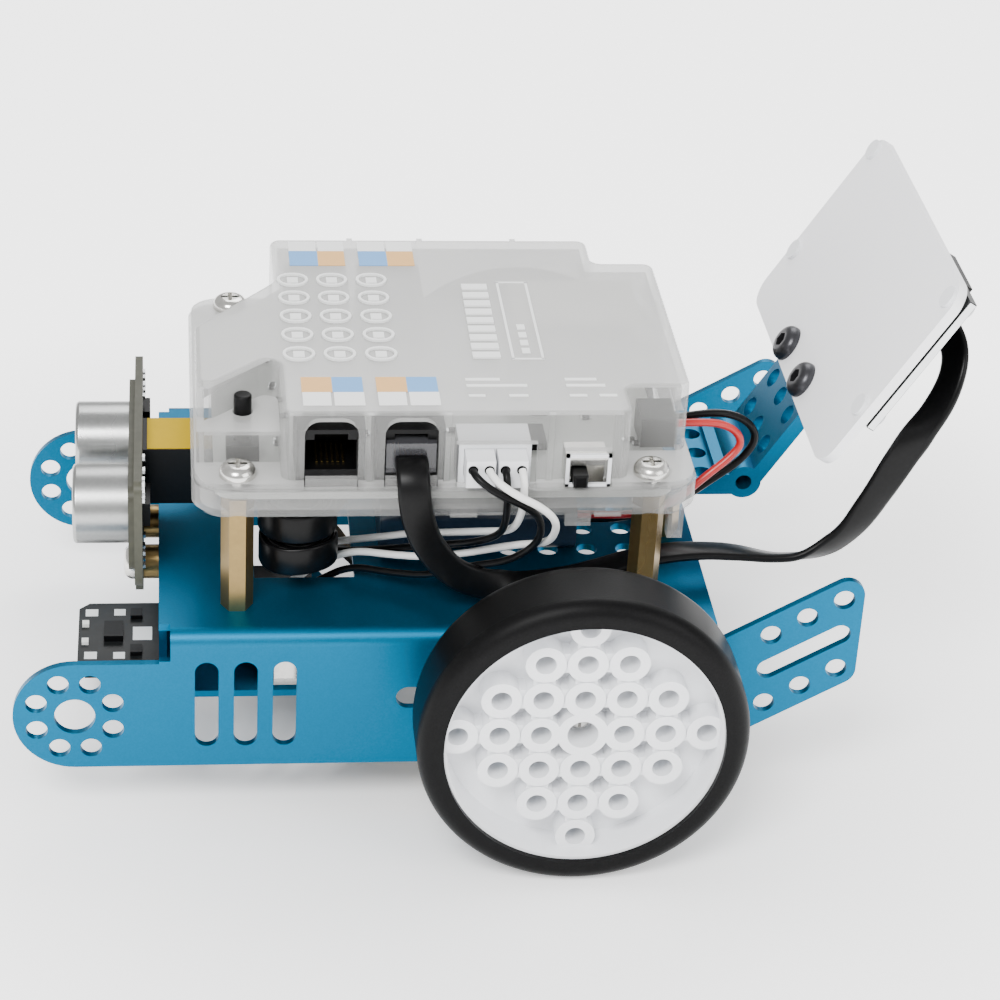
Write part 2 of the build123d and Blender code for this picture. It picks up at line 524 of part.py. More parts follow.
def make_tray():
    """Lower half of the case, with a window for each post and a lip for each port."""
    tray = Pos(0, 0, TRAY_Z) * extrude(case_outline(0), RIM_Z - TRAY_Z)
    tray = chamfer(tray.faces().sort_by(Axis.Z)[0].edges(), 1.6)
    hollow = Pos(0, 0, TRAY_Z + 1.5) * extrude(case_outline(1.6), RIM_Z)
    tray = tray - hollow
    cutters = []
    seats = []
    for x in POST_X:
        for y in (-POST_Y, POST_Y):
            cutters.append(rod_z(x, y, TRAY_Z - 1, RIM_Z, POST_AF * 0.5 / math.cos(math.pi / 6) + 0.25))
    for x in (-60.0, 13.0):
        for y in (-30.0, 30.0):
            seats.append(rod_z(x, y, TRAY_Z + 1, POST_TOP_Z, 2.4))
    for k in range(7):
        x = -45.0 + 8.0 * k
        cutters.append(slot_z(x, -14.0, 14.0, TRAY_Z - 1, TRAY_Z + 3, 1.6))
    for x in PORT_X:
        for side in (-1, 1):
            seats.append(block(x - PORT_W / 2 + 0.2, x + PORT_W / 2 - 0.2, side * 38.2, side * 39.4,
                               RIM_Z - 0.5, PORT_Z[0]))
    feet = [block(x - 2.6, x + 2.6, side * 39.2, side * 41.0, 64.6, 66.6)
            for x in (-22.0, 6.0) for side in (-1, 1)]
    tab = block(-2.0, 3.0, -39.4, -38.0, 61.6, TRAY_Z + 1.6)
    clip = block(18.6, 21.6, -37.6, -34.6, 57.6, TRAY_Z + 1.6)
    return tray + seats + feet + clip + tab - cutters


def slot_z(x, y0, y1, z0, z1, radius):
    """Round-ended slot cutter through Z, with its long way along Y."""
    outline = Rot(0, 0, 90) * SlotOverall(y1 - y0, 2 * radius)
    return Pos(x, (y0 + y1) / 2, z0) * extrude(outline, z1 - z0)


def make_controller_board():
    """Controller circuit board, resting on the four posts."""
    outline = Pos((POST_X[0] + POST_X[1]) / 2, 0) * RectangleRounded(89.0, 75.4, 4.0)
    board = Pos(0, 0, POST_TOP_Z) * extrude(outline, BOARD_T)
    holes = [rod_z(x, y, 60, 72, M4_HOLE_R) for x in POST_X for y in (-POST_Y, POST_Y)]
    return board - holes


def jack(open_depth):
    """Modular jack with its mouth at Y 0 facing -Y and its foot at Z 0."""
    width, depth, height = JACK
    body = block(-width / 2, width / 2, 0, depth, 0, height)
    mouth = block(-4.9, 4.9, -1, open_depth, 3.9, 10.4) + block(-3.2, 3.2, -1, open_depth, 10.2, 11.6)
    return body - mouth


def make_jacks():
    """All modular jacks: four on the controller and one on each sensor board and the panel."""
    jacks = []
    floor = POST_TOP_Z + BOARD_T
    near = [Pos(x, -LID_Y + 0.6 + LID_WALL, floor) * jack(11.0) for x in PORT_X]
    jacks += near
    jacks += [mirror(j, Plane.XZ) for j in near]
    jacks.append(sonar_jack())
    jacks.append(Pos(LINE_JACK_X, 0, LINE_Z) * Rot(0, 0, 90) * jack(11.0))
    jacks.append(panel_place(52.0, -8.0, PANEL_T + PANEL_GAP + PANEL_BOARD_T) * Rot(0, 0, 180) * jack(11.0))
    return jacks


def sonar_jack():
    """Jack behind the distance sensor, its mouth facing the rear."""
    width, depth, height = JACK
    body = block(SONAR_X, SONAR_X + depth, -width / 2, width / 2, 47.9, 47.9 + height)
    mouth = block(SONAR_X + 4.0, SONAR_X + depth + 1, -4.9, 4.9, 51.8, 58.3)
    mouth = mouth + block(SONAR_X + 4.0, SONAR_X + depth + 1, -3.2, 3.2, 58.1, 59.5)
    return body - mouth


def make_ports_small():
    """USB socket, battery socket, motor headers, switch and push button of the controller."""
    floor = POST_TOP_Z + BOARD_T
    usb = block(LID_REAR_X - 16.5, LID_REAR_X - 0.4, 4.6, 16.4, floor, floor + 10.6)
    usb = usb - block(LID_REAR_X - 12, LID_REAR_X + 1, 6.4, 14.6, floor + 1.6, floor + 9.2)
    usb = usb + block(LID_REAR_X - 12.5, LID_REAR_X - 3, 8.6, 12.4, floor + 3.8, floor + 6.6)
    battery = block(LID_REAR_X - 8.0, LID_REAR_X - 1.0, -21.0, -12.0, floor, floor + 6.2)
    battery = battery - block(LID_REAR_X - 5.4, LID_REAR_X, -19.8, -13.2, floor + 1.2, floor + 5.2)
    header = block(-23.0, -9.0, -36.4, -28.0, floor, floor + 9.4)
    header = header - [block(x - 2.9, x + 2.9, -38.5, -30.0, floor + 2.6, floor + 8.6) for x in MOTOR_PLUG_X]
    body = block(-2.0, 6.0, -37.2, -30.0, floor, floor + 6.4)
    body = body - block(-1.2, 5.2, -38.0, -32.0, floor + 1.2, floor + 5.2)
    base = block(BUTTON[0] - 3.2, BUTTON[0] + 3.2, BUTTON[1] - 3.2, BUTTON[1] + 3.2, floor, floor + 3.4)
    base = base - rod_z(BUTTON[0], BUTTON[1], floor + 1.0, floor + 4.0, 1.85)
    return usb, battery, header, body, base


def make_board_parts():
    """Microcontroller, buzzer and driver chips on the controller board."""
    floor = POST_TOP_Z + BOARD_T
    chips = [block(-36.0, -24.0, -6.0, 6.0, floor, floor + 1.6),
             block(-12.0, -4.0, -22.0, -14.0, floor, floor + 1.6),
             block(-54.0, -46.0, 4.0, 12.0, floor, floor + 1.6),
             rod_z(-4.0, -2.0, floor, floor + 8.0, 6.0) - rod_z(-4.0, -2.0, floor + 7, floor + 9, 1.0)]
    return chips


def make_switch_knob():
    """Slide knob of the power switch, at its off end."""
    knob = block(-1.0, 1.8, -40.8, -34.0, 70.6, 73.4)
    return chamfer(knob.faces().sort_by(Axis.Y)[0].edges(), 0.4)


def make_button_cap():
    """Stem of the push button, standing through the lid's shelf."""
    cap = rod_z(BUTTON[0], BUTTON[1], POST_TOP_Z + BOARD_T + 2.0, BUTTON[2] + 3.8, 1.75)
    return fillet(cap.edges().filter_by(GeomType.CIRCLE).sort_by(Axis.Z)[-1], 0.4)


def modular_plug():
    """Modular plug seated in a jack whose mouth is at Y 0 facing -Y."""
    return block(-4.8, 4.8, -1.5, 10.8, 4.0, 10.3)


def make_plugs():
    """Modular plugs at both ends of the three ribbon cables."""
    floor = POST_TOP_Z + BOARD_T
    mouth_y = -LID_Y + 0.6 + LID_WALL
    plugs = [Pos(PORT_X[1], mouth_y, floor) * modular_plug()]
    plugs += [mirror(Pos(x, mouth_y, floor) * modular_plug(), Plane.XZ) for x in PORT_X]
    plugs.append(block(SONAR_X + 4.2, SONAR_X + JACK[1] + 1.5, -4.8, 4.8, 51.9, 58.2))
    plugs.append(Pos(LINE_JACK_X, 0, LINE_Z) * Rot(0, 0, 90) * modular_plug())
    plugs.append(panel_place(52.0, -8.0, PANEL_T + PANEL_GAP + PANEL_BOARD_T) * Rot(0, 0, 180) * modular_plug())
    return plugs


def make_motor_plugs():
    """Two white two-pin plugs in the motor headers."""
    floor = POST_TOP_Z + BOARD_T
    return [block(x - 2.8, x + 2.8, -41.3, -30.2, floor + 2.7, floor + 8.5) for x in MOTOR_PLUG_X]


def make_battery():
    """Flat rechargeable pack lying on the chassis."""
    pack = block(*BATTERY)
    return fillet(pack.edges().filter_by(Axis.X), 2.5)


def make_motor_bolts():
    """Four bolts through the gearboxes and chassis sides, with their nuts."""
    pieces = []
    head_y = -SIDE_Y
    inner_y = -GEARBOX_OUT_Y + GEARBOX_W
    for dz in (-MOTOR_BOLT_DZ, MOTOR_BOLT_DZ):
        z = AXLE_Z + dz
        head = rod_y(MOTOR_BOLT_X, head_y - 2.0, head_y, z, 2.7)
        bolt = head + rod_y(MOTOR_BOLT_X, head_y, inner_y + 4.0, z, 1.45)
        washer_nut = rod_y(MOTOR_BOLT_X, inner_y, inner_y + 2.4, z, 2.9)
        washer_nut = washer_nut - rod_y(MOTOR_BOLT_X, inner_y - 1, inner_y + 5, z, 1.5)
        pieces += both_sides(bolt) + both_sides(washer_nut)
    return pieces


def cable(points, radius):
    """Tube along straight runs joined by arcs as large as the runs allow. Returns it and its radii."""
    vectors = [Vector(*p) for p in points]
    radii = []
    for k in range(1, len(vectors) - 1):
        before = vectors[k] - vectors[k - 1]
        after = vectors[k + 1] - vectors[k]
        turn = math.radians(before.get_angle(after))
        radii.append(0.45 * min(before.length, after.length) / math.tan(turn / 2))
    path = FilletPolyline(*points, radius=radii)
    section = Plane(origin=path @ 0, z_dir=path % 0) * Circle(radius)
    tube = sweep(section, path=path)
    expected = math.pi * radius ** 2 * path.length
    print(f"cable {path.length:.1f} mm, radii", [round(r, 1) for r in radii], f"volume ratio {tube.volume / expected:.4f}")
    return tube


def make_coil():
    """Outer shape of the spare length of the sensor ribbons, wound under the case."""
    x, y, low, high, radius = COIL
    return rod_z(x, y, low, high, radius) - rod_z(x, y, low - 1, high + 1, 3.2)


def make_radio():
    """Plug-in radio module standing on its pin header."""
    floor = POST_TOP_Z + BOARD_T
    board = block(-8.0, 18.0, 7.0, 24.5, floor + 12.8, floor + 14.4)
    header = block(-6.0, 16.0, 20.0, 22.5, floor, floor + 12.8)
    return [board, header]


def make_sonar():
    """Distance sensor: board, face plate, two cans and their front meshes."""
    wide = block(SONAR_X - BOARD_T, SONAR_X, -28.0, 28.0, 40.6, 64.4)
    wide = fillet(wide.edges().filter_by(Axis.X), 2.5)
    tab = block(SONAR_X - BOARD_T, SONAR_X, -14.0, 14.0, 30.6, 41.0)
    tab = fillet(tab.edges().filter_by(Axis.X).sort_by(Axis.Z)[:2], 3.0)
    board = wide + tab - [rod_x(-99, -70, y, SONAR_BOLT_Z, M4_HOLE_R) for y in (-PITCH, PITCH)]
    face_x = SONAR_X - BOARD_T
    face = block(face_x - 1.2, face_x, -24.5, 24.5, 42.0, 61.0)
    face = fillet(face.edges().filter_by(Axis.X), 3.0)
    face = face - [rod_x(-99, -70, y, SONAR_Z, SONAR_CAN_R) for y in (-SONAR_DY, SONAR_DY)]
    cans = []
    meshes = []
    for y in (-SONAR_DY, SONAR_DY):
        can = rod_x(face_x - 1.2 - SONAR_CAN_L, face_x, y, SONAR_Z, SONAR_CAN_R - 0.02)
        can = fillet(can.edges().filter_by(GeomType.CIRCLE).sort_by(Axis.X)[0], 0.8)
        can = can - rod_x(-99, face_x - 4.0, y, SONAR_Z, 6.9)
        cans.append(can)
        meshes.append(rod_x(face_x - 10.6, face_x - 9.8, y, SONAR_Z, 6.9))
    return board, face, cans, meshes


def make_line_sensor():
    """Line follower: board under the front shelf and its two pairs of reflex sensors."""
    top = LINE_Z
    board = block(-97.4, -46.4, -12.0, 12.0, top - BOARD_T, top)
    board = chamfer(board.edges().filter_by(Axis.Z).sort_by(Axis.X)[:2], 2.2)
    board = board - [rod_z(BALL_X, y, 0, 20, M4_HOLE_R) for y in (-CASTER_BOLT_Y, CASTER_BOLT_Y)]
    pairs = [block(-96.0 + dx, -92.6 + dx, y - 1.4, y + 1.4, top - BOARD_T - 4.2, top - BOARD_T)
             for dx in (0.0, 5.4) for y in (-6.5, 6.5)]
    return board, pairs


def make_caster():
    """Mini ball caster: flanged cup and the ball that turns in it."""
    top = LINE_Z - BOARD_T
    cup = rod_z(BALL_X, 0, 3.0, top, 7.0)
    wing = block(BALL_X - 4.2, BALL_X + 4.2, -CASTER_BOLT_Y - 4.2, CASTER_BOLT_Y + 4.2, top - 4.4, top)
    cup = cup + fillet(wing.edges().filter_by(Axis.Z), 4.0)
    cup = cup - Pos(BALL_X, 0, BALL_R) * Sphere(BALL_R + 0.3)
    cup = cup - [rod_z(BALL_X, y, 0, 20, 1.97) for y in (-CASTER_BOLT_Y, CASTER_BOLT_Y)]
    return cup, Pos(BALL_X, 0, BALL_R) * Sphere(BALL_R)


def panel_place(along, y, behind):
    """Place on the tilted panel: distance up the leg, width position, depth behind the face."""
    tilt = math.radians(TILT)
    x = KNUCKLE_X + along * math.cos(tilt) + (behind - PANEL_T) * math.sin(tilt)
    z = KNUCKLE_Z + along * math.sin(tilt) - (behind - PANEL_T) * math.cos(tilt)
    # local X runs up the slope, local Y across the car and local Z out of the back
    plane = Plane(origin=(x, y, z), x_dir=(math.cos(tilt), 0, math.sin(tilt)),
                  z_dir=(math.sin(tilt), 0, -math.cos(tilt)))
    return plane.location


def make_bracket():
    """Extruded bracket: flat leg, tilted leg and the knuckle between them, three holes wide."""
    low_z = KNUCKLE_Z - 2.8
    flat = block(KNUCKLE_X - 28.0, KNUCKLE_X, -BRACKET_Y, BRACKET_Y, low_z, low_z + BRACKET_T)
    leg = panel_place(0, 0, PANEL_T) * Pos(14.0, 0, BRACKET_T / 2) * Box(28.0, 2 * BRACKET_Y, BRACKET_T)
    knuckle = rod_y(KNUCKLE_X, -BRACKET_Y, BRACKET_Y, KNUCKLE_Z, 3.6)
    knuckle = knuckle + block(KNUCKLE_X - 5.5, KNUCKLE_X, -BRACKET_Y, BRACKET_Y, low_z, KNUCKLE_Z + 1.8)
    bracket = flat + leg + knuckle
    cutters = [rod_y(KNUCKLE_X, -BRACKET_Y - 1, BRACKET_Y + 1, KNUCKLE_Z, 1.65)]
    for column in (-PITCH, 0, PITCH):
        for row in (1, 2, 3):
            cutters.append(rod_z(KNUCKLE_X - row * PITCH, column, low_z - 1, low_z + 9, M4_HOLE_R))
            place = panel_place(row * PITCH, column, PANEL_T)
            cutters.append(place * Cylinder(M4_HOLE_R, 12.0))
    return bracket - cutters


def make_short_spacers():
    """Brass spacers: two under the bracket's flat leg and two behind the distance sensor."""
    spacers = []
    for y in (-PITCH, PITCH):
        x = KNUCKLE_X - 2 * PITCH
        spacers.append(hex_z(x, y, TOP_Z, KNUCKLE_Z - 2.8, 7.0) - rod_z(x, y, 0, 90, 1.65))
        ring = rod_x(SONAR_X, FRONT_X, y, SONAR_BOLT_Z, 3.5)
        spacers.append(ring - rod_x(-99, -70, y, SONAR_BOLT_Z, 2.0))
    return spacers


def make_panel():
    """White diffuser plate, panel board with its raised light field, and the four corner rivets."""
    middle = PANEL_START + PANEL_LEN / 2
    face = RectangleRounded(PANEL_LEN, 2 * PANEL_Y, 5.0)
    plate = panel_place(middle, 0, 0) * extrude(face, PANEL_T)
    board_mid = PANEL_START + PANEL_LEN - 17.0
    board = panel_place(board_mid, 0, PANEL_T + PANEL_GAP) * extrude(Rectangle(32.0, 2 * PANEL_Y), PANEL_BOARD_T)
    board = board + panel_place(board_mid, 0, PANEL_T) * extrude(Rectangle(24.0, 64.0), PANEL_GAP)
    rivets = []
    holes = []
    for along in (board_mid - 13.7, board_mid + 13.7):
        for y in (-34.5, 34.5):
            stem = panel_place(along, y, -0.5) * extrude(Circle(1.5), 5.6)
            head = panel_place(along, y, -0.8) * extrude(Circle(2.2), 0.8)
            rivets.append(stem + head)
            holes.append(panel_place(along, y, -2) * extrude(Circle(1.52), 8))
    screws = [panel_place(3 * PITCH, y, -1) * extrude(Circle(M4_HOLE_R), 8) for y in (-PITCH, PITCH)]
    return plate - holes - screws, board - holes, rivets


def place_screws():
    """All M4 pan head screws, and their nuts."""
    screws = []
    nuts = []
    m4 = pan_screw(6.0, 3.6, 2.4, 1.6)
    for x in POST_X:
        for y in (-POST_Y, POST_Y):
            screws.append(Pos(x, y, FLANGE_Z) * pan_screw(8.0, 3.6, 2.4, 1.6))
            screws.append(Pos(x, y, TOP_Z - SHEET) * Rot(180, 0, 0) * m4)
    long_m4 = pan_screw(12.0, 3.6, 2.4, 1.95)
    for y in (-PITCH, PITCH):
        screws.append(Pos(SONAR_X - BOARD_T, y, SONAR_BOLT_Z) * Rot(0, -90, 0) * long_m4)
        nuts.append(Pos(FRONT_X + SHEET, y, SONAR_BOLT_Z) * Rot(0, 90, 0) * nut())
        screws.append(Pos(KNUCKLE_X - 2 * PITCH, y, KNUCKLE_Z - 2.8 + BRACKET_T) * m4)
        screws.append(Pos(KNUCKLE_X - 2 * PITCH, y, TOP_Z - SHEET) * Rot(180, 0, 0) * m4)
    for y in (-CASTER_BOLT_Y, CASTER_BOLT_Y):
        screws.append(Pos(BALL_X, y, LINE_Z + SHEET) * pan_screw(7.0, 3.6, 2.4, 1.95))
    for y in (-PITCH, PITCH):
        nuts.append(panel_place(3 * PITCH, y, PANEL_T + BRACKET_T) * nut())
    return screws, nuts


def nut():
    """M4 hexagon nut standing on Z 0."""
    return hex_z(0, 0, 0, 3.0, 7.0) - rod_z(0, 0, -1, 4, 1.97)


def make_panel_screws():
    """Two socket button head screws through panel and leg."""
    screw = pan_screw(9.0, 3.8, 2.3, 1.95, recess="hex")
    return [panel_place(3 * PITCH, y, 0) * Rot(180, 0, 0) * screw for y in (-PITCH, PITCH)]


def write(name, shape):
    """Move a part from the axle frame to the car's frame and write it."""
    solids = []
    for item in (shape if isinstance(shape, (list, tuple)) else [shape]):
        solids += [Pos(AXLE_X, 0, 0) * s for s in item.solids()]
    body = solids[0] if len(solids) == 1 else Compound(children=solids)
    export_step(body, f"parts/{name}.step")


def main():
    os.makedirs("parts", exist_ok=True)
    write("chassis", make_chassis())
    outer, inner = make_gearbox_halves()
    can, cap = make_motor_can()
    pieces = {"gearbox_outer_half": outer, "gearbox_inner_half": inner, "motor_can": [can, cap],
              "motor_rotor": make_rotor(), "crown_gear": make_crown_gear(),
              "wheel_shaft": make_output_shaft(), "wheel_hub": make_hub(), "tyre": make_tyre(),
              "wheel_screw": make_wheel_screw()}
    for name, shape in pieces.items():
        items = shape if isinstance(shape, list) else [shape]
        write(f"left_{name}", items)
        write(f"right_{name}", [mirror(item, Plane.XZ) for item in items])
    write("brass_posts", make_posts())
    write("case_tray", make_tray())
    write("case_lid", make_lid())
    write("controller_board", make_controller_board())
    write("modular_jacks", make_jacks())
    usb, battery, header, switch_body, base = make_ports_small()
    write("usb_socket", usb)
    write("motor_headers", header)
    write("power_switch_body", switch_body)
    write("board_components", make_board_parts() + [battery, base])
    write("radio_module", make_radio())
    write("power_switch_knob", make_switch_knob())
    write("button_cap", make_button_cap())
    write("modular_plugs", make_plugs())
    write("motor_plugs", make_motor_plugs())
    write("battery_pack", make_battery())
    write("motor_bolts", make_motor_bolts())
    write("panel_ribbon", cable(PANEL_ROUTE, RIBBON_R))
    write("sonar_ribbon", [cable(SONAR_ROUTE, RIBBON_R), cable(SONAR_PORT_ROUTE, RIBBON_R)])
    write("line_ribbon", [cable(LINE_ROUTE, RIBBON_R), cable(LINE_PORT_ROUTE, RIBBON_R)])
    write("ribbon_coil", make_coil())
    write("motor_wires_black", [cable(route, WIRE_R) for route in BLACK_ROUTES])
    write("motor_wires_white", [cable(route, WIRE_R) for route in WHITE_ROUTES])
    write("battery_lead_red", cable(RED_ROUTE, LEAD_R))
    write("battery_lead_black", cable(BLACK_LEAD_ROUTE, LEAD_R))
    board, face, cans, meshes = make_sonar()
    write("sonar_board", board)
    write("sonar_face_plate", face)
    write("sonar_cans", cans)
    write("sonar_meshes", meshes)
    board, pairs = make_line_sensor()
    write("line_board", board)
    write("line_sensors", pairs)
    cup, ball = make_caster()
    write("caster_cup", cup)
    write("caster_ball", ball)
    write("rear_bracket", make_bracket())
    write("short_spacers", make_short_spacers())
    plate, board, rivets = make_panel()
    write("panel_plate", plate)
    write("panel_board", board)
    write("panel_rivets", rivets)
    write("panel_screws", make_panel_screws())
    screws, nuts = place_screws()
    write("pan_screws", screws)
    write("hex_nuts", nuts)


main()
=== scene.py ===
"""Looks of the two wheel robot car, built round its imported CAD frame."""

import math
import random

import bpy
from mathutils import Matrix, Vector


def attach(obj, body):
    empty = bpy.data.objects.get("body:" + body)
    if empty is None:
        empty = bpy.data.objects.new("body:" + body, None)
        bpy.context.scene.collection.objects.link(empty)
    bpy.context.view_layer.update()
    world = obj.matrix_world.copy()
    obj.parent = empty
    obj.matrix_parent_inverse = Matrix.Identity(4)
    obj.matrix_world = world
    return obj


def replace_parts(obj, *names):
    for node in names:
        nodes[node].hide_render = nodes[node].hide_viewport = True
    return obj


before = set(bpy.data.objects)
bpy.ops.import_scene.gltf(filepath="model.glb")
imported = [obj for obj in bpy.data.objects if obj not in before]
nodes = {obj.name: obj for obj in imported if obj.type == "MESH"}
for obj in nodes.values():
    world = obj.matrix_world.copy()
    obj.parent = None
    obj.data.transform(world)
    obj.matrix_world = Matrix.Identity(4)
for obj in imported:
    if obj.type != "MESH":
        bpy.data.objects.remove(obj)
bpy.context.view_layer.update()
random.seed(7)

AXLE_X = 13.475         # the wheel axle's place along X; sizes below are in mm from the axle, as in part.py
TILT = math.radians(58.0)
LID_TOP = 86.0
BOARD_TOP = 68.6
CHIP_X = -30.0          # middle of the square chip on the controller board
JACK_XS = (-47.5, -32.2)
PLUG_XS = (-19.1, -12.9)
SWITCH_X = (-2.4, 6.4)  # window of the power switch
SWITCH_Z = (69.9, 76.9)
SWITCH_Y = (-38.6, -37.9)
PANEL_FOOT = (38.5, 55.2)       # X and Z where the light panel's back meets its lower end
PANEL_BACK = 2.0                # depth of that point behind the panel's face
PANEL_CHIP_BACK = 4.0
SONAR_BACK_X = -83.5
LINE_TOP = 12.2

CAMERA_AZIMUTH, CAMERA_ELEVATION, CAMERA_ROLL = (math.radians(a) for a in (-7.37, 30.293, 3.371))
CAMERA_PLACE = (-78.24, -528.81, 355.79)
LENS_MM = 106.866
SENSOR_MM = 36.0

RIBBON_WIDE, RIBBON_THICK = 6.4, 1.7        # flat cable to the light panel
SENSOR_WIDE, SENSOR_THICK = 6.0, 1.5        # flat cables of the two sensors
WIRE_R = 0.75
LEAD_R = 0.8


def m(x, y, z):
    """Point in metres in the shared frame, from millimetres in the axle frame."""
    return Vector(((x + AXLE_X) / 1000, y / 1000, z / 1000))


# ---------------------------------------------------------------- camera and light

def add_camera():
    """Camera at the photograph's viewing angle."""
    flat = math.cos(CAMERA_ELEVATION)
    back = Vector((math.sin(CAMERA_AZIMUTH) * flat, -math.cos(CAMERA_AZIMUTH) * flat,
                   math.sin(CAMERA_ELEVATION)))
    level = Vector((math.cos(CAMERA_AZIMUTH), math.sin(CAMERA_AZIMUTH), 0))
    up = back.cross(level)
    right = math.cos(CAMERA_ROLL) * level + math.sin(CAMERA_ROLL) * up
    over = math.cos(CAMERA_ROLL) * up - math.sin(CAMERA_ROLL) * level
    data = bpy.data.cameras.new("camera")
    data.sensor_width = SENSOR_MM
    data.lens = LENS_MM
    data.clip_start = 0.01
    data.clip_end = 20.0
    camera = bpy.data.objects.new("camera", data)
    bpy.context.scene.collection.objects.link(camera)
    turn = Matrix((right, over, back)).transposed().to_4x4()
    camera.matrix_world = Matrix.Translation(m(*CAMERA_PLACE)) @ turn
    bpy.context.scene.camera = camera


def add_light(name, location, size, energy):
    """Soft square light that looks at the car's middle."""
    data = bpy.data.lights.new(name, "AREA")
    data.shape = "SQUARE"
    data.size = size
    data.energy = energy
    light = bpy.data.objects.new(name, data)
    light.location = location
    aim = Vector((0, 0, 0.05)) - light.location
    light.rotation_euler = aim.to_track_quat("-Z", "Y").to_euler()
    bpy.context.scene.collection.objects.link(light)


def add_studio():
    """Pale flat floor with painted light: it glows weakly near the car and strongly away from it, which
    paints shade round the car; and soft light all round.
    """
    bpy.ops.mesh.primitive_plane_add(size=30.0, location=(0, 0, -0.0002))
    floor = bpy.context.object
    floor.name = "studio_floor"
    pale_glow_floor = surface("studio_pale_painted_glow", (0.93, 0.93, 0.93), 0.6, specular=0.2)
    pale_glow_floor.node_tree.nodes["Principled BSDF"].inputs["Emission Color"].default_value = (1, 1, 1, 1)
    tree = pale_glow_floor.node_tree
    place = tree.nodes.new("ShaderNodeTexCoord")
    reach = tree.nodes.new("ShaderNodeVectorMath")
    reach.operation = "LENGTH"
    tree.links.new(place.outputs["Object"], reach.inputs[0])
    # painted light and shade: the floor's glow rises with distance from the car's middle, so the floor is
    # darker round the car
    glow = tree.nodes.new("ShaderNodeMapRange")
    glow.inputs["From Min"].default_value = 0.04
    glow.inputs["From Max"].default_value = 0.19
    glow.inputs["To Min"].default_value = 0.15
    glow.inputs["To Max"].default_value = 1.9
    tree.links.new(reach.outputs["Value"], glow.inputs["Value"])
    tree.links.new(glow.outputs["Result"], tree.nodes["Principled BSDF"].inputs["Emission Strength"])
    floor.data.materials.append(pale_glow_floor)
    world = bpy.data.worlds.new("studio")
    bpy.context.scene.world = world
    world.use_nodes = True
    background = world.node_tree.nodes["Background"]
    background.inputs["Color"].default_value = (1, 1, 1, 1)
    background.inputs["Strength"].default_value = 0.8
    add_light("key", (-0.35, -0.75, 0.95), 0.45, 19.0)
    add_light("fill", (0.8, -0.7, 0.6), 0.7, 7.0)
    add_light("rim", (0.2, 0.8, 0.9), 0.7, 9.0)


# ---------------------------------------------------------------- materials

def surface(name, colour, roughness, metallic=0.0, specular=0.5, speckle=0.0, scale=600.0, bump=0.0,
            coat=0.0, wear=0.06):
    """Principled material whose colour and roughness vary finely, with an optional bump."""
    mat = bpy.data.materials.new(name)
    mat.use_nodes = True
    tree = mat.node_tree
    shader = tree.nodes["Principled BSDF"]
    shader.inputs["Metallic"].default_value = metallic
    shader.inputs["Specular IOR Level"].default_value = specular
    shader.inputs["Coat Weight"].default_value = coat
    place = tree.nodes.new("ShaderNodeTexCoord")
    fine = tree.nodes.new("ShaderNodeTexNoise")
    fine.inputs["Scale"].default_value = scale
    fine.inputs["Detail"].default_value = 6.0
    tree.links.new(place.outputs["Object"], fine.inputs["Vector"])
    broad = tree.nodes.new("ShaderNodeTexNoise")
    broad.inputs["Scale"].default_value = 28.0
    broad.inputs["Detail"].default_value = 3.0
    tree.links.new(place.outputs["Object"], broad.inputs["Vector"])
    ramp = tree.nodes.new("ShaderNodeValToRGB")
    low = [c * (1 - speckle) for c in colour]
    high = [min(1.0, c * (1 + speckle) + 0.004 * speckle) for c in colour]
    ramp.color_ramp.elements[0].position = 0.3
    ramp.color_ramp.elements[0].color = (*low, 1)
    ramp.color_ramp.elements[1].position = 0.7
    ramp.color_ramp.elements[1].color = (*high, 1)
    tree.links.new(fine.outputs["Fac"], ramp.inputs["Fac"])
    tree.links.new(ramp.outputs["Color"], shader.inputs["Base Color"])
    spread = tree.nodes.new("ShaderNodeMapRange")
    spread.inputs["From Min"].default_value = 0.3
    spread.inputs["From Max"].default_value = 0.7
    spread.inputs["To Min"].default_value = max(0.02, roughness - wear)
    spread.inputs["To Max"].default_value = min(1.0, roughness + wear)
    tree.links.new(broad.outputs["Fac"], spread.inputs["Value"])
    tree.links.new(spread.outputs["Result"], shader.inputs["Roughness"])
    if bump:
        relief = tree.nodes.new("ShaderNodeBump")
        relief.inputs["Strength"].default_value = bump
        relief.inputs["Distance"].default_value = 0.0002
        tree.links.new(fine.outputs["Fac"], relief.inputs["Height"])
        tree.links.new(relief.outputs["Normal"], shader.inputs["Normal"])
    return mat


def clear_plastic(name, colour, low, high, roughness=0.22):
    """Cloudy clear plastic: alpha rises from low, seen face on, to high, seen edge on."""
    mat = surface(name, colour, roughness, specular=0.6, speckle=0.015, scale=90.0, wear=0.04)
    tree = mat.node_tree
    shader = tree.nodes["Principled BSDF"]
    facing = tree.nodes.new("ShaderNodeLayerWeight")
    facing.inputs["Blend"].default_value = 0.35
    spread = tree.nodes.new("ShaderNodeMapRange")
    spread.inputs["To Min"].default_value = low
    spread.inputs["To Max"].default_value = high
    tree.links.new(facing.outputs["Facing"], spread.inputs["Value"])
    tree.links.new(spread.outputs["Result"], shader.inputs["Alpha"])
    return mat


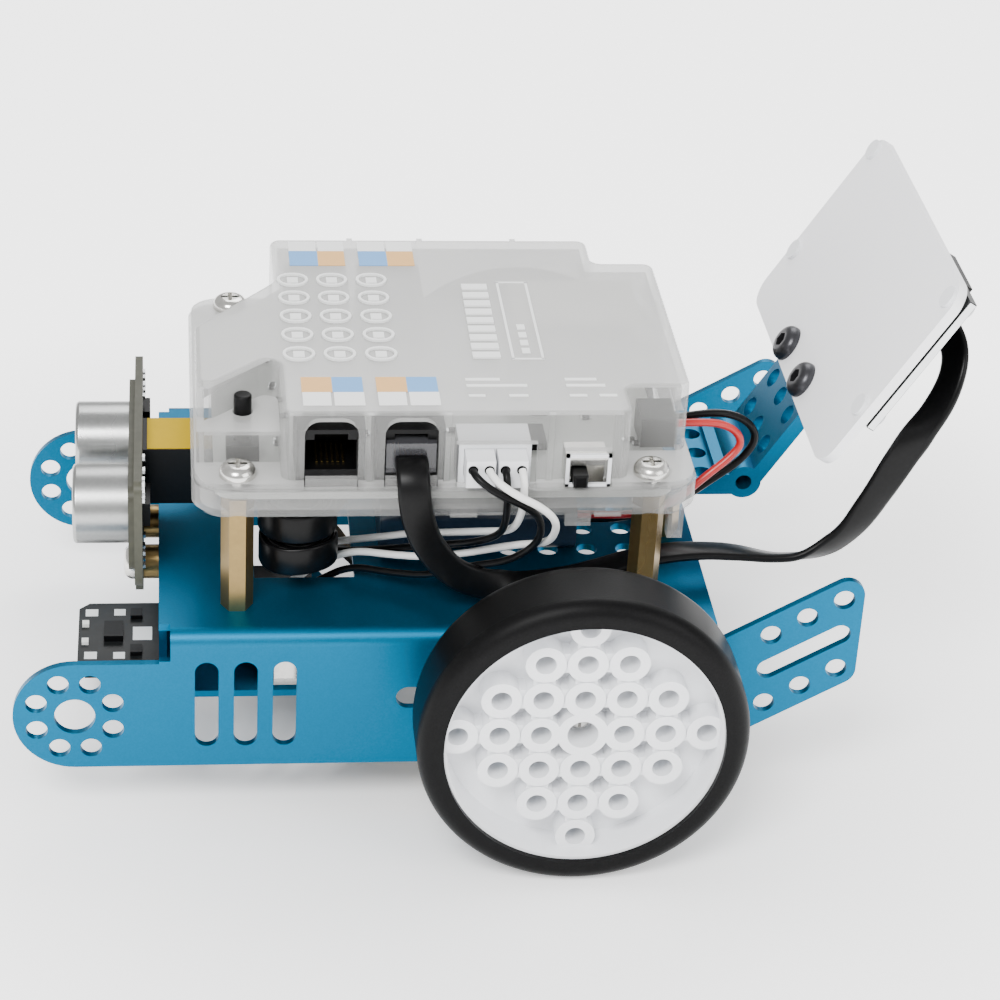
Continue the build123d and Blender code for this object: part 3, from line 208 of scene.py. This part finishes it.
def lid_plastic():
    """Lid material: milky on its flat top, much clearer on its walls."""
    mat = clear_plastic("lid_clear", (0.46, 0.46, 0.45), 0.12, 0.66)
    tree = mat.node_tree
    shader = tree.nodes["Principled BSDF"]
    spread = shader.inputs["Alpha"].links[0].from_node
    place = tree.nodes.new("ShaderNodeNewGeometry")
    split = tree.nodes.new("ShaderNodeSeparateXYZ")
    tree.links.new(place.outputs["Normal"], split.inputs["Vector"])
    upward = tree.nodes.new("ShaderNodeMapRange")
    upward.inputs["From Min"].default_value = 0.55
    upward.inputs["From Max"].default_value = 0.98
    upward.inputs["To Min"].default_value = 0.0
    upward.inputs["To Max"].default_value = 0.38
    tree.links.new(split.outputs["Z"], upward.inputs["Value"])
    total = tree.nodes.new("ShaderNodeMath")
    total.operation = "ADD"
    total.use_clamp = True
    tree.links.new(spread.outputs["Result"], total.inputs[0])
    tree.links.new(upward.outputs["Result"], total.inputs[1])
    tree.links.new(total.outputs["Value"], shader.inputs["Alpha"])
    return mat


def make_materials():
    """All materials by name."""
    return {
        "blue_sheet": surface("blue_anodised", (0.0, 0.12, 0.235), 0.42, metallic=0.85, specular=0.2,
                              speckle=0.05,
                              scale=2600.0, bump=0.12),
        "lid": lid_plastic(),
        "tray": clear_plastic("tray_clear", (0.42, 0.42, 0.41), 0.16, 0.7, 0.15),
        "plug": clear_plastic("plug_clear", (0.05, 0.05, 0.055), 0.7, 0.95, 0.12),
        "brass": surface("brass_turned", (0.24, 0.165, 0.065), 0.3, metallic=0.9, speckle=0.05,
                         scale=900.0),
        "white": surface("white_moulded", (0.80, 0.81, 0.83), 0.42, speckle=0.012, scale=1500.0, bump=0.03),
        "diffuser": surface("white_diffuser", (0.93, 0.93, 0.95), 0.5, speckle=0.01, scale=1200.0),
        "tyre": surface("tyre_rubber", (0.002, 0.002, 0.0022), 0.42, speckle=0.25, scale=2500.0, bump=0.1,
                        specular=0.09),
        "black": surface("black_moulded", (0.002, 0.002, 0.0022), 0.35, specular=0.15, speckle=0.1,
                         scale=1500.0, bump=0.04),
        "yellow": surface("yellow_gearbox", (0.72, 0.40, 0.03), 0.45, speckle=0.03, scale=1200.0,
                          bump=0.05),
        "label_yellow": surface("label_yellow", (0.50, 0.33, 0.0), 0.5, specular=0.1, speckle=0.02),
        "steel": surface("steel_plated", (0.62, 0.61, 0.58), 0.24, metallic=1.0, speckle=0.06, scale=900.0),
        "dark_steel": surface("steel_black", (0.05, 0.05, 0.055), 0.35, metallic=0.8, speckle=0.1),
        "aluminium": surface("can_aluminium", (0.36, 0.365, 0.36), 0.3, metallic=1.0, speckle=0.05,
                             scale=1500.0),
        "mesh": surface("can_mesh", (0.16, 0.16, 0.17), 0.45, metallic=0.8, speckle=0.5, scale=1400.0,
                        bump=0.6),
        "board": surface("board_white", (0.36, 0.37, 0.35), 0.35, speckle=0.02, scale=300.0, coat=0.2),
        "board_black": surface("board_black", (0.009, 0.010, 0.010), 0.32, speckle=0.2, scale=400.0,
                               specular=0.2),
        "cream": surface("module_cream", (0.92, 0.88, 0.76), 0.4, speckle=0.02, scale=300.0),
        "board_olive": surface("board_olive", (0.060, 0.060, 0.045), 0.4, speckle=0.12, scale=500.0,
                               specular=0.2),
        "cable": surface("cable_black", (0.002, 0.002, 0.0022), 0.34, specular=0.14, speckle=0.15,
                         scale=1200.0, bump=0.05),
        "wire_black": surface("wire_black", (0.002, 0.002, 0.0022), 0.32, speckle=0.1, specular=0.14),
        "wire_white": surface("wire_white", (0.80, 0.80, 0.78), 0.4, speckle=0.02),
        "wire_red": surface("wire_red", (0.40, 0.008, 0.008), 0.34, speckle=0.05),
        "battery": surface("battery_wrap", (0.02, 0.03, 0.05), 0.3, speckle=0.08, coat=0.3),
        "gold": surface("contact_gold", (0.45, 0.32, 0.10), 0.25, metallic=1.0, speckle=0.03),
        "tin": surface("solder_tin", (0.70, 0.71, 0.72), 0.25, metallic=1.0, speckle=0.05),
        "print_white": surface("print_white", (0.84, 0.85, 0.84), 0.5, speckle=0.01),
        "tan": surface("label_tan", (0.72, 0.40, 0.13), 0.5, speckle=0.015),
        "sky": surface("label_sky", (0.12, 0.33, 0.66), 0.5, speckle=0.015),
        "led": surface("led_clear", (0.80, 0.80, 0.76), 0.15, speckle=0.02),
    }


NODE_MATERIALS = {
    "chassis": "blue_sheet", "rear_bracket": "blue_sheet", "brass_posts": "brass", "short_spacers": "brass",
    "case_lid": "lid", "case_tray": "tray", "controller_board": "board", "board_components": "black",
    "modular_jacks": "black", "modular_plugs": "plug", "usb_socket": "steel", "motor_headers": "white",
    "motor_plugs": "white", "power_switch_body": "steel", "power_switch_knob": "black",
    "button_cap": "black",
    "radio_module": "cream", "battery_pack": "battery", "motor_bolts": "steel", "pan_screws": "steel",
    "hex_nuts": "steel", "panel_screws": "dark_steel", "sonar_board": "board_olive",
    "sonar_face_plate": "board_olive", "sonar_cans": "aluminium", "sonar_meshes": "mesh",
    "line_board": "board_black", "line_sensors": "black", "caster_cup": "white", "caster_ball": "steel",
    "panel_plate": "diffuser", "panel_board": "board_black", "panel_rivets": "white",
}
SIDE_MATERIALS = {
    "gearbox_outer_half": "yellow", "gearbox_inner_half": "yellow", "motor_can": "steel",
    "motor_rotor": "dark_steel", "crown_gear": "white", "wheel_shaft": "white", "wheel_hub": "white",
    "tyre": "tyre", "wheel_screw": "steel",
}


def paint_nodes(mats):
    """Give every CAD node its detailed material."""
    for side in ("left", "right"):
        for part, name in SIDE_MATERIALS.items():
            NODE_MATERIALS[f"{side}_{part}"] = name
    for node, name in NODE_MATERIALS.items():
        for place in nodes[node].material_slots:
            place.material = mats[name]


# ---------------------------------------------------------------- small pieces

def finish_mesh(name, verts, faces, mat, smooth=False):
    """Mesh object from points and faces that rides on the car."""
    data = bpy.data.meshes.new(name)
    data.from_pydata([tuple(v) for v in verts], [], faces)
    data.validate()
    data.update()
    piece = bpy.data.objects.new(name, data)
    bpy.context.scene.collection.objects.link(piece)
    data.materials.append(mat)
    if smooth:
        for face in data.polygons:
            face.use_smooth = True
    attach(piece, "car")
    return piece


def box_faces(base):
    """Six faces of a box whose corners start at index base."""
    quads = ((0, 1, 3, 2), (4, 6, 7, 5), (0, 4, 5, 1), (2, 3, 7, 6), (0, 2, 6, 4), (1, 5, 7, 3))
    return [tuple(base + k for k in quad) for quad in quads]


def boxes(name, corners, mat, place=None):
    """One mesh of boxes, each (x0, x1, y0, y1, z0, z1) in mm, through an optional place function."""
    verts = []
    faces = []
    for x0, x1, y0, y1, z0, z1 in corners:
        faces += box_faces(len(verts))
        for x in (x0, x1):
            for y in (y0, y1):
                for z in (z0, z1):
                    verts.append(place(x, y, z) if place else m(x, y, z))
    return finish_mesh(name, verts, faces, mat)


def stadium(x, y, length, width, steps=8):
    """Points round a stadium whose long way is along X."""
    radius = width / 2
    reach = length / 2 - radius
    points = []
    for k in range(steps + 1):
        a = -math.pi / 2 + math.pi * k / steps
        points.append((x + reach + radius * math.cos(a), y + radius * math.sin(a)))
    for k in range(steps + 1):
        a = math.pi / 2 + math.pi * k / steps
        points.append((x - reach + radius * math.cos(a), y + radius * math.sin(a)))
    return points


def raised_rings(name, centres, mat):
    """Oval rims with a dished middle, standing on the lid."""
    verts = []
    faces = []
    for x, y in centres:
        outer = stadium(x, y, 6.4, 5.6)
        inner = stadium(x, y, 5.2, 4.4)
        count = len(outer)
        base = len(verts)
        for ring, z in ((outer, 0.0), (outer, 0.45), (inner, 0.45), (inner, 0.02)):
            verts += [m(px, py, LID_TOP + z) for px, py in ring]
        for level in range(3):
            for k in range(count):
                n = (k + 1) % count
                a = base + level * count
                faces.append((a + k, a + n, a + count + n, a + count + k))
        for k in range(count):
            n = (k + 1) % count
            faces.append((base + 3 * count + k, base + 3 * count + n, base + n, base + k))
    return finish_mesh(name, verts, faces, mat)


def rods(name, runs, radius, mat, sides=12):
    """One mesh of short round bars, each from point to point in mm in the axle frame."""
    verts = []
    faces = []
    for start, end in runs:
        a, b = m(*start), m(*end)
        axis = (b - a).normalized()
        side = axis.orthogonal().normalized()
        other = axis.cross(side)
        base = len(verts)
        for centre in (a, b):
            for k in range(sides):
                angle = 2 * math.pi * k / sides
                verts.append(centre + (side * math.cos(angle) + other * math.sin(angle)) * radius / 1000)
        for k in range(sides):
            n = (k + 1) % sides
            faces.append((base + k, base + n, base + sides + n, base + sides + k))
        faces.append(tuple(base + k for k in reversed(range(sides))))
        faces.append(tuple(base + sides + k for k in range(sides)))
    return finish_mesh(name, verts, faces, mat)


# ---------------------------------------------------------------- cables

def spline(points):
    """Smooth open NURBS curve with these control points, without thickness."""
    data = bpy.data.curves.new("route", "CURVE")
    data.dimensions = "3D"
    data.resolution_u = 10
    line = data.splines.new("NURBS")
    line.points.add(len(points) - 1)
    for point, place in zip(line.points, points):
        point.co = (*m(*place), 1.0)
    line.order_u = 3
    line.use_endpoint_u = True
    return data


def line_points(points):
    """Points read along the smooth curve."""
    holder = bpy.data.objects.new("route", spline(points))
    bpy.context.scene.collection.objects.link(holder)
    bpy.context.view_layer.update()
    mesh = bpy.data.meshes.new_from_object(holder)
    found = [v.co.copy() for v in mesh.vertices]
    bpy.data.meshes.remove(mesh)
    bpy.data.objects.remove(holder)
    return found


def length_of(points):
    """Length along a row of points."""
    return sum((b - a).length for a, b in zip(points, points[1:]))


def wire(name, route, radius, mat):
    """Round wire on its route."""
    data = spline(route)
    data.bevel_depth = radius / 1000
    data.bevel_resolution = 4
    data.use_fill_caps = True
    data.name = name
    piece = bpy.data.objects.new(name, data)
    bpy.context.scene.collection.objects.link(piece)
    data.materials.append(mat)
    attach(piece, "car")
    length_of(line_points(route))
    return piece


def flat_section(width, thickness):
    """Outline of a flat cable with rounded edges, across its width and thickness."""
    half = width / 2 - thickness / 2
    outline = []
    for centre, start in ((half, -90), (-half, 90)):
        for k in range(5):
            angle = math.radians(start + 45 * k)
            outline.append((centre + thickness / 2 * math.cos(angle), thickness / 2 * math.sin(angle)))
    return outline


def sweep_flat(line, broad, width, thickness):
    """Points and faces of a flat cable along a line, with its broad direction at each point."""
    outline = flat_section(width / 1000, thickness / 1000)
    count = len(outline)
    verts = []
    faces = []
    for k, point in enumerate(line):
        ahead = line[min(k + 1, len(line) - 1)] - line[max(k - 1, 0)]
        ahead.normalize()
        side = broad[k] - ahead * broad[k].dot(ahead)
        side.normalize()
        out = ahead.cross(side)
        verts += [point + side * u + out * v for u, v in outline]
    for k in range(len(line) - 1):
        for j in range(count):
            n = (j + 1) % count
            faces.append((k * count + j, k * count + n, (k + 1) * count + n, (k + 1) * count + j))
    faces.append(tuple(reversed(range(count))))
    faces.append(tuple((len(line) - 1) * count + j for j in range(count)))
    return verts, faces


def blend_directions(directions, count):
    """Broad directions for count points, between the directions given at the route's points."""
    found = []
    last = len(directions) - 1
    for k in range(count):
        t = k / (count - 1) * last
        low = min(int(t), last - 1)
        share = t - low
        share = share * share * (3 - 2 * share)
        found.append(Vector(directions[low]).lerp(Vector(directions[low + 1]), share).normalized())
    return found


def ribbon(name, route, directions, width, thickness, node):
    """Flat cable on its route, twisting between the directions given at the route's points."""
    line = line_points(route)
    verts, faces = sweep_flat(line, blend_directions(directions, len(line)), width, thickness)
    piece = finish_mesh(name, verts, faces, MATS["cable"], smooth=True)
    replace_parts(piece, node)
    return piece


def coil_loops(name, x, y, low, high, mat, slot):
    """Spare flat cable wound on edge in two bundles of nested oval loops."""
    verts = []
    faces = []
    height = (high - low - 0.4) / 2
    for bundle in range(2):
        middle = low + height / 2 + bundle * (height + 0.4)
        for turn in range(4):
            reach_x = 3.9 + 1.15 * turn
            reach_y = reach_x - 0.3 * (bundle + turn % 2)
            line = []
            for k in range(49):
                angle = 2 * math.pi * k / 48
                ripple = 0.18 * math.sin(3 * angle + turn + 2 * bundle)
                line.append(m(x + (reach_x + ripple) * math.cos(angle),
                              y + (reach_y + ripple) * math.sin(angle),
                              middle + 0.3 * math.sin(2 * angle + turn)))
            new_verts, new_faces = sweep_flat(line, [Vector((0, 0, 1))] * len(line), height - 0.7, 0.95)
            base = len(verts)
            verts += new_verts
            faces += [tuple(base + v for v in face) for face in new_faces]
    piece = finish_mesh(name, verts, faces, mat, smooth=True)
    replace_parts(piece, "ribbon_coil")
    return piece


ACROSS = (1, 0, 0)
SIDEWAYS = (0, 1, 0)
UPRIGHT = (0, 0, 1)
SLOPE = (math.cos(TILT), 0, math.sin(TILT))

PANEL_ROUTE = [(-32.2, -37.6, 75.7), (-32.2, -42.4, 75.5), (-31.6, -44.4, 67.6), (-28.6, -42.6, 58.4),
               (-21.5, -39.0, 49.0), (-10.5, -34.8, 44.6), (2.5, -31.6, 45.2), (17.0, -28.4, 48.4),
               (32.0, -26.8, 48.3), (46.5, -27.6, 45.8), (56.5, -28.4, 51.2), (62.0, -28.8, 61.8),
               (67.0, -29.2, 73.2), (73.2, -28.6, 83.4), (75.8, -24.6, 91.2), (74.4, -17.8, 94.2),
               (73.8, -9.8, 94.5)]
PANEL_BROAD = [ACROSS, ACROSS, (1, 0, 0.1), (1, 0.1, 0.3), (0.8, 0.4, 0.8), (0.35, 0.9, 0.35),
               (0.1, 1, 0.1), SIDEWAYS, (0.05, 1, -0.1), (0.2, 1, -0.5), (0.8, 0.55, -0.8),
               (0.95, 0.15, -0.4), (0.95, -0.2, -0.4), (0.7, -0.9, 0.0), (0.7, -0.8, 0.5),
               (0.55, -0.2, 0.85), SLOPE]
SONAR_ROUTE = [(-53.0, -18.2, 55.6), (-54.4, -11.6, 55.4), (-58.8, -5.0, 54.4), (-62.4, -0.7, 54.8),
               (-66.8, -0.2, 55.0)]
SONAR_BROAD = [UPRIGHT, (0.2, 0, 1), (0.3, 0.6, 0.6), SIDEWAYS, SIDEWAYS]
SONAR_PORT_ROUTE = [(-52.0, -18.2, 59.0), (-50.4, -8.0, 60.2), (-49.6, 6.0, 60.6), (-48.0, 20.0, 59.6),
                    (-47.6, 33.0, 58.2), (-47.4, 42.4, 60.0), (-47.5, 46.2, 67.4), (-47.5, 44.0, 74.4),
                    (-47.5, 37.7, 75.7)]
LINE_ROUTE = [(-54.0, -17.9, 49.0), (-52.0, -11.5, 47.4), (-46.0, -6.5, 41.4), (-40.4, -3.6, 33.4),
              (-36.6, -1.4, 25.4), (-40.2, -0.2, 19.4), (-46.5, 0.0, 19.3)]
LINE_BROAD = [UPRIGHT, (0.3, 0.3, 0.8), (0.2, 1, 0.3), (0.0, 1, 0.1), SIDEWAYS, SIDEWAYS, SIDEWAYS]
LINE_PORT_ROUTE = [(-46.2, -21.6, 56.4), (-39.6, -13.0, 58.4), (-35.6, 0.0, 60.2), (-33.6, 14.0, 60.2),
                   (-32.4, 28.0, 58.6), (-32.0, 40.4, 58.6), (-32.2, 46.0, 65.4), (-32.2, 44.2, 74.0),
                   (-32.2, 37.7, 75.7)]
PORT_BROAD = [UPRIGHT, (0.7, 0, 0.7), ACROSS, ACROSS, ACROSS, ACROSS, ACROSS, ACROSS, ACROSS]
COIL = (-53.0, -26.4, 46.8, 60.6)
BLACK_ROUTES = [
    [(-20.7, -41.5, 75.2), (-20.4, -43.6, 75.0), (-16.6, -45.2, 72.4), (-11.4, -45.8, 70.2),
     (-7.8, -44.4, 66.8), (-6.8, -42.6, 62.0), (-8.2, -40.4, 57.2), (-12.8, -38.8, 53.2),
     (-19.4, -36.2, 50.8), (-27.2, -33.2, 46.6), (-35.4, -29.4, 45.2), (-42.4, -25.6, 44.4),
     (-48.0, -23.6, 40.2), (-54.4, -24.6, 36.8), (-61.6, -27.6, 34.8), (-64.0, -33.8, 33.6),
     (-58.4, -35.7, 33.4)],
    [(-14.4, -41.5, 75.2), (-14.3, -43.6, 74.6), (-14.0, -43.4, 70.0), (-13.8, -41.8, 64.4),
     (-14.4, -39.0, 59.4), (-19.0, -35.8, 55.8), (-25.4, -31.6, 52.8), (-32.0, -26.6, 49.2),
     (-39.0, -21.0, 45.2), (-46.0, -15.8, 42.0), (-52.0, -8.6, 38.6), (-56.6, 2.0, 36.8),
     (-59.4, 13.6, 36.0), (-62.4, 23.4, 34.8), (-65.0, 31.6, 33.8), (-58.4, 35.7, 33.4)]
]
WHITE_ROUTES = [
    [(-17.5, -41.5, 75.2), (-17.2, -43.6, 74.8), (-13.0, -46.6, 72.8), (-7.8, -47.2, 70.4),
     (-4.6, -46.0, 66.6), (-4.4, -43.2, 61.8), (-5.6, -39.6, 57.8), (-11.0, -35.4, 55.0),
     (-19.6, -33.4, 52.0), (-27.0, -30.4, 49.2), (-34.4, -26.8, 47.6), (-41.6, -22.6, 46.2),
     (-47.4, -20.0, 42.4), (-54.4, -20.6, 37.4), (-62.4, -24.0, 33.6), (-66.4, -31.4, 31.2),
     (-58.4, -35.7, 30.6)],
    [(-11.2, -41.5, 75.2), (-11.0, -43.6, 74.6), (-10.8, -43.2, 70.0), (-11.0, -41.2, 64.4),
     (-12.2, -37.6, 59.4), (-17.0, -33.6, 57.0), (-23.4, -29.6, 54.4), (-30.0, -25.0, 51.6),
     (-37.0, -19.4, 47.2), (-44.0, -13.6, 43.0), (-50.0, -6.2, 37.4), (-54.2, 3.6, 34.6),
     (-57.4, 14.4, 33.2), (-61.4, 23.8, 32.0), (-66.4, 31.4, 31.2), (-58.4, 35.7, 30.6)]
]
RED_ROUTE = [(21.8, -17.4, 72.0), (28.4, -17.2, 72.4), (34.0, -16.6, 70.8), (36.6, -16.4, 67.0),
             (33.8, -17.2, 63.8), (29.0, -18.8, 60.6), (24.0, -19.6, 56.0), (17.2, -18.0, 51.6),
             (10.6, -14.8, 49.2), (4.1, -13.4, 48.8)]
BLACK_LEAD_ROUTE = [(21.8, -15.4, 72.0), (28.8, -14.6, 73.2), (36.4, -13.6, 71.6), (40.4, -13.0, 66.8),
                    (37.4, -13.8, 61.6), (31.0, -15.0, 57.6), (24.6, -15.8, 53.0), (17.0, -14.6, 49.4),
                    (10.6, -11.8, 46.4), (4.1, -10.6, 46.2)]


def add_cables():
    """Every cable of the car."""
    ribbon("panel_ribbon_flat", PANEL_ROUTE, PANEL_BROAD, RIBBON_WIDE, RIBBON_THICK, "panel_ribbon")
    ribbon("sonar_ribbon_front", SONAR_ROUTE, SONAR_BROAD, SENSOR_WIDE, SENSOR_THICK, "sonar_ribbon")
    ribbon("sonar_ribbon_rear", SONAR_PORT_ROUTE, PORT_BROAD, SENSOR_WIDE, SENSOR_THICK, "sonar_ribbon")
    ribbon("line_ribbon_low", LINE_ROUTE, LINE_BROAD, SENSOR_WIDE, SENSOR_THICK, "line_ribbon")
    ribbon("line_ribbon_rear", LINE_PORT_ROUTE, PORT_BROAD, SENSOR_WIDE, SENSOR_THICK, "line_ribbon")
    coil_loops("spare_ribbon_loops", *COIL, MATS["cable"], "cable_black")
    for k in range(2):
        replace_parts(wire(f"motor_wire_black_{k + 1}", BLACK_ROUTES[k], WIRE_R, MATS["wire_black"]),
                    "motor_wires_black")
        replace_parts(wire(f"motor_wire_white_{k + 1}", WHITE_ROUTES[k], WIRE_R, MATS["wire_white"]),
                    "motor_wires_white")
    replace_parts(wire("battery_wire_red", RED_ROUTE, LEAD_R, MATS["wire_red"]),
                "battery_lead_red")
    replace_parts(wire("battery_wire_black", BLACK_LEAD_ROUTE, LEAD_R, MATS["wire_black"]),
                "battery_lead_black")


# ---------------------------------------------------------------- details of the case

def add_lid_marks():
    """Port colour labels, ovals and plain marks on the lid."""
    low, high = LID_TOP, LID_TOP + 0.12
    tan, sky, white = [], [], []
    for start in (-53.0, -38.6):
        tan.append((start, start + 5.9, -29.9, -23.9, low, high))
        sky.append((start + 5.9, start + 11.8, -29.9, -23.9, low, high))
        white.append((start + 0.1, start + 5.5, -35.2, -30.0, low, high))
        white.append((start + 6.1, start + 11.9, -35.2, -30.0, low, high))
        sky.append((start - 0.2, start + 5.7, 25.1, 31.8, low, high))
        tan.append((start + 5.7, start + 11.3, 25.1, 31.8, low, high))
        white.append((start - 0.2, start + 5.5, 31.9, 36.4, low, high))
        white.append((start + 5.9, start + 11.3, 31.9, 36.4, low, high))
    boxes("label_tan_squares", tan, MATS["tan"])
    boxes("label_sky_squares", sky, MATS["sky"])
    boxes("label_white_squares", white, MATS["print_white"])
    centres = [(x, y) for x in (-52.9, -44.9, -36.8) for y in (18.1, 10.0, 1.8, -6.3, -14.5)]
    raised_rings("lid_ovals", centres, MATS["print_white"])
    bars = []
    # a plain ladder of bars and an empty frame, in place of wording
    for k in range(9):
        y = -16.2 + 3.75 * k
        bars.append((-18.9 + 0.05 * k, -13.4 + 0.02 * k, y, y + 2.3, low, high + 0.25))
    bars += [(-11.2, -10.7, -16.4, 17.4, low, high), (-5.3, -4.8, -16.4, 17.4, low, high),
             (-11.2, -4.8, -16.6, -16.1, low, high), (-11.2, -4.8, 17.1, 17.6, low, high)]
    for k in range(4):
        bars.append((-8.9, -7.3, -14.0 + 3.4 * k, -11.8 + 3.4 * k, low, high))
    bars += [(-21.2, -14.5, -25.4, -24.4, low, high), (-21.2, -9.4, -27.9, -26.9, low, high),
             (-21.1, -17.9, -31.9, -31.0, low, high), (-13.3, -9.6, -31.9, -31.0, low, high),
             (-1.8, 4.4, -25.4, -24.4, low, high), (-1.8, 5.8, -27.9, -26.9, low, high),
             (-1.6, 1.8, -31.9, -31.0, low, high), (4.2, 7.6, -31.9, -31.0, low, high)]
    bars += [(x - 1.1, x + 1.1, y - 1.2, y + 1.2, low, high + 0.1) for x, y in centres]
    boxes("lid_plain_bars", bars, MATS["print_white"])


def add_board_details():
    """Small parts on the controller board, and the plugs' and switch's fine shapes."""
    tin, dark, pins = [], [], []
    for k in range(46):
        x = random.uniform(-62, 16)
        y = random.uniform(-22, 24)
        if -38 < x < -22 and -8 < y < 8 or x > 2 and y > 2 or -13 < x < 3 and y < 6:
            continue
        wide = random.choice((0.8, 1.2, 1.6))
        tin.append((x - wide, x + wide, y - 0.6, y + 0.6, BOARD_TOP, BOARD_TOP + 0.5))
        dark.append((x - wide * 0.6, x + wide * 0.6, y - 0.65, y + 0.65, BOARD_TOP + 0.05, BOARD_TOP + 0.7))
    for k in range(11):
        shift = -5.0 + k
        pins += [(CHIP_X + shift - 0.2, CHIP_X + shift + 0.2, side * 6.0, side * 7.2, BOARD_TOP,
                  BOARD_TOP + 0.4)
                 for side in (-1, 1)]
        pins += [(CHIP_X + side * 6.0, CHIP_X + side * 7.2, shift - 0.2, shift + 0.2, BOARD_TOP,
                  BOARD_TOP + 0.4)
                 for side in (-1, 1)]
    boxes("board_part_ends", tin, MATS["tin"])
    boxes("board_part_bodies", dark, MATS["black"])
    boxes("chip_legs", pins, MATS["tin"])
    contacts = []
    for x in JACK_XS:
        for k in range(6):
            spot = x - 2.55 + 1.02 * k
            contacts.append((spot - 0.2, spot + 0.2, -33.4, -26.0, 72.6, 72.9))
    boxes("jack_contacts", contacts, MATS["gold"])
    dimples = []
    for plug_x in PLUG_XS:
        for dx, z in ((-1.55, 75.2), (1.6, 75.2)):
            dimples.append(((plug_x + dx, -41.2, z), (plug_x + dx, -41.42, z)))
    rods("plug_wire_holes", dimples, 0.98, MATS["black"], sides=20)
    (left, right), (low, high) = SWITCH_X, SWITCH_Z
    boxes("switch_window_frame",
          [(left, left + 0.7, *SWITCH_Y, low, high), (right - 0.7, right, *SWITCH_Y, low, high),
           (left, right, *SWITCH_Y, high - 0.7, high), (left, right, *SWITCH_Y, low, low + 0.6)],
          MATS["white"])


def panel_point(along, y, behind):
    """Point on the tilted panel: distance up the slope, width position and depth behind its face."""
    foot_x, foot_z = PANEL_FOOT
    x = foot_x + along * math.cos(TILT) + (behind - PANEL_BACK) * math.sin(TILT)
    z = foot_z + along * math.sin(TILT) - (behind - PANEL_BACK) * math.cos(TILT)
    return m(x, y, z)


def add_panel_details():
    """Driver chips and small parts on the back of the panel's board."""
    back = PANEL_CHIP_BACK
    chips = [(40.0, 46.0, 8.0, 14.0, back, back + 1.4), (40.0, 46.0, -30.0, -24.0, back, back + 1.4),
             (54.0, 57.0, 14.0, 24.0, back, back + 1.0)]
    boxes("panel_chips", chips, MATS["black"], panel_point)
    ends = [(36.0 + 3.0 * k, 37.6 + 3.0 * k, 27.0, 28.0, back, back + 0.6) for k in range(8)]
    ends += [(36.0 + 3.0 * k, 37.6 + 3.0 * k, -34.0 + 1.0 * (k % 2), -33.0 + 1.0 * (k % 2), back,
              back + 0.6)
             for k in range(4, 8)]
    boxes("panel_small_parts", ends, MATS["tin"], panel_point)
    edge = [(32.2, 63.8, -37.58, -37.45, 2.5, 3.9)]
    boxes("panel_board_edge", edge, MATS["tin"], panel_point)


def add_sensor_details():
    """Label, chips and pads of the two sensor boards."""
    boxes("sonar_jack_label", [(-82.6, -69.4, -6.3, 6.3, 60.4, 60.55)], MATS["label_yellow"])
    back = SONAR_BACK_X
    chips = [(back, back + 1.5, 10.0, 19.0, 47.0, 52.0), (back, back + 1.5, -19.0, -10.5, 50.0, 55.0),
             (back, back + 1.5, 10.0, 16.0, 56.0, 60.0)]
    boxes("sonar_chips", chips, MATS["black"])
    pads = []
    for y in (-24.5, -22.0, 20.5, 23.0, -13.0, 12.5):
        for z in (43.5, 46.5, 58.5, 61.5):
            pads.append((back, back + 0.5, y, y + 1.4, z, z + 0.8))
    boxes("sonar_small_parts", pads, MATS["tin"])
    top = LINE_TOP
    white = [(-96.0, -93.4, -9.5, -6.9, top, top + 0.08), (-96.0, -93.4, 6.9, 9.5, top, top + 0.08),
             (-90.0, -87.6, -9.5, -7.1, top, top + 0.08), (-90.0, -87.6, 7.1, 9.5, top, top + 0.08),
             (-86.0, -82.0, -2.5, 2.5, top, top + 0.08)]
    boxes("line_board_marks", white, MATS["print_white"])
    parts = [(-92.0, -88.0, -3.0, 3.0, top, top + 1.4), (-86.5, -84.0, -8.5, -5.5, top, top + 1.0),
             (-86.5, -84.0, 5.5, 8.5, top, top + 1.0)]
    boxes("line_board_chips", parts, MATS["black"])
    lights = [(-96.6, -95.2, y, y + 1.6, top, top + 0.8) for y in (-4.2, 2.6)]
    boxes("line_board_lights", lights, MATS["led"])


add_camera()
add_studio()
MATS = make_materials()
paint_nodes(MATS)
add_cables()
add_lid_marks()
add_board_details()
add_panel_details()
add_sensor_details()
